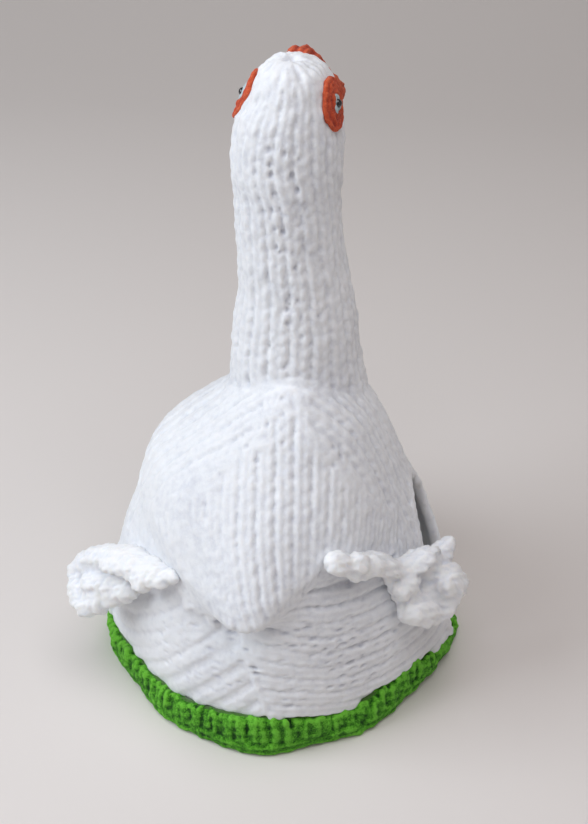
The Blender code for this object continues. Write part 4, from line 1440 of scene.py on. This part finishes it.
def make_stage():
    mesh = bpy.data.meshes.new("studio_floor")
    bm = bmesh.new()
    profile = [(-3.0, 0.0), (0.7, 0.0)]
    radius, steps = 0.9, 16
    for i in range(1, steps + 1):
        t = math.pi / 2 * i / steps
        profile.append((0.7 + radius * math.sin(t), radius * (1 - math.cos(t))))
    profile.append((1.6, 4.0))
    rows = [[bm.verts.new((x, y, z)) for y, z in profile] for x in (-4, 4)]
    for i in range(len(profile) - 1):
        bm.faces.new((rows[0][i], rows[1][i], rows[1][i + 1], rows[0][i + 1]))
    bm.to_mesh(mesh)
    bm.free()
    mesh.shade_smooth()
    material = bpy.data.materials.new("studio_paper")
    material.use_nodes = True
    shader = material.node_tree.nodes["Principled BSDF"]
    shader.inputs["Base Color"].default_value = (0.73, 0.69, 0.665, 1)
    shader.inputs["Roughness"].default_value = 0.9
    floor = add("studio_floor", mesh, material)
    target = (0, 0, 0.12)
    soft_light("window_left", (-0.90, -0.30, 0.80), target, 0.8, 9.2, (0.87, 0.935, 1.0))
    soft_light("room_front", (-0.2, -1.5, 1.6), target, 1.6, 3.4, (1.0, 0.96, 0.93))
    soft_light("warm_right", (1.3, -0.5, 0.7), target, 0.8, 1.2, (1.0, 0.86, 0.80))
    soft_light("ceiling", (0.10, -0.30, 1.25), target, 0.8, 6.4, (0.98, 0.97, 1.0))
    world = bpy.data.worlds.new("room")
    world.use_nodes = True
    background = world.node_tree.nodes["Background"]
    background.inputs[0].default_value = (0.86, 0.81, 0.79, 1)
    background.inputs[1].default_value = 0.23
    bpy.context.scene.world = world


def make_camera():
    """The camera: 34 degrees down, 5 degrees round to the spout's side."""
    a, e, distance = math.radians(5), math.radians(34), 0.6
    target = Vector((0.0102, 0.0, 0.1316))
    back = Vector((math.sin(a) * math.cos(e), -math.cos(a) * math.cos(e), math.sin(e)))
    data = bpy.data.cameras.new("camera")
    data.sensor_width = 36
    data.lens = 1340 / 824 * 36
    camera = bpy.data.objects.new("camera", data)
    camera.location = target + back * distance
    camera.rotation_euler = (-back).to_track_quat("-Z", "Y").to_euler()
    bpy.context.scene.collection.objects.link(camera)
    bpy.context.scene.camera = camera


make_stage()
make_camera()
scene = bpy.context.scene
scene.view_settings.view_transform = "Standard"


def stands_for(node, pieces):
    """These pieces stand in for a CAD node: they hang from the root's empty, and the node is hidden."""
    for piece in pieces:
        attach(piece, "root")
        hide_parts(node)


stands_for("body_back", knit_back + [cloth_back])
stands_for("body_front", knit_front + [cloth_front])
stands_for("neck_head", knit_neck + [stuffed_neck])
stands_for("grass_border", [border_knit, border_cloth])
stands_for("wing_left", wing_left)
stands_for("wing_right", wing_right)
stands_for("bill", bill_pieces)
for side in ("left", "right"):
    stands_for("eye_patch_" + side, eyes["eye_patch_" + side])
    stands_for("iris_" + side, eyes["iris_" + side])
    stands_for("pupil_" + side, eyes["pupil_" + side])
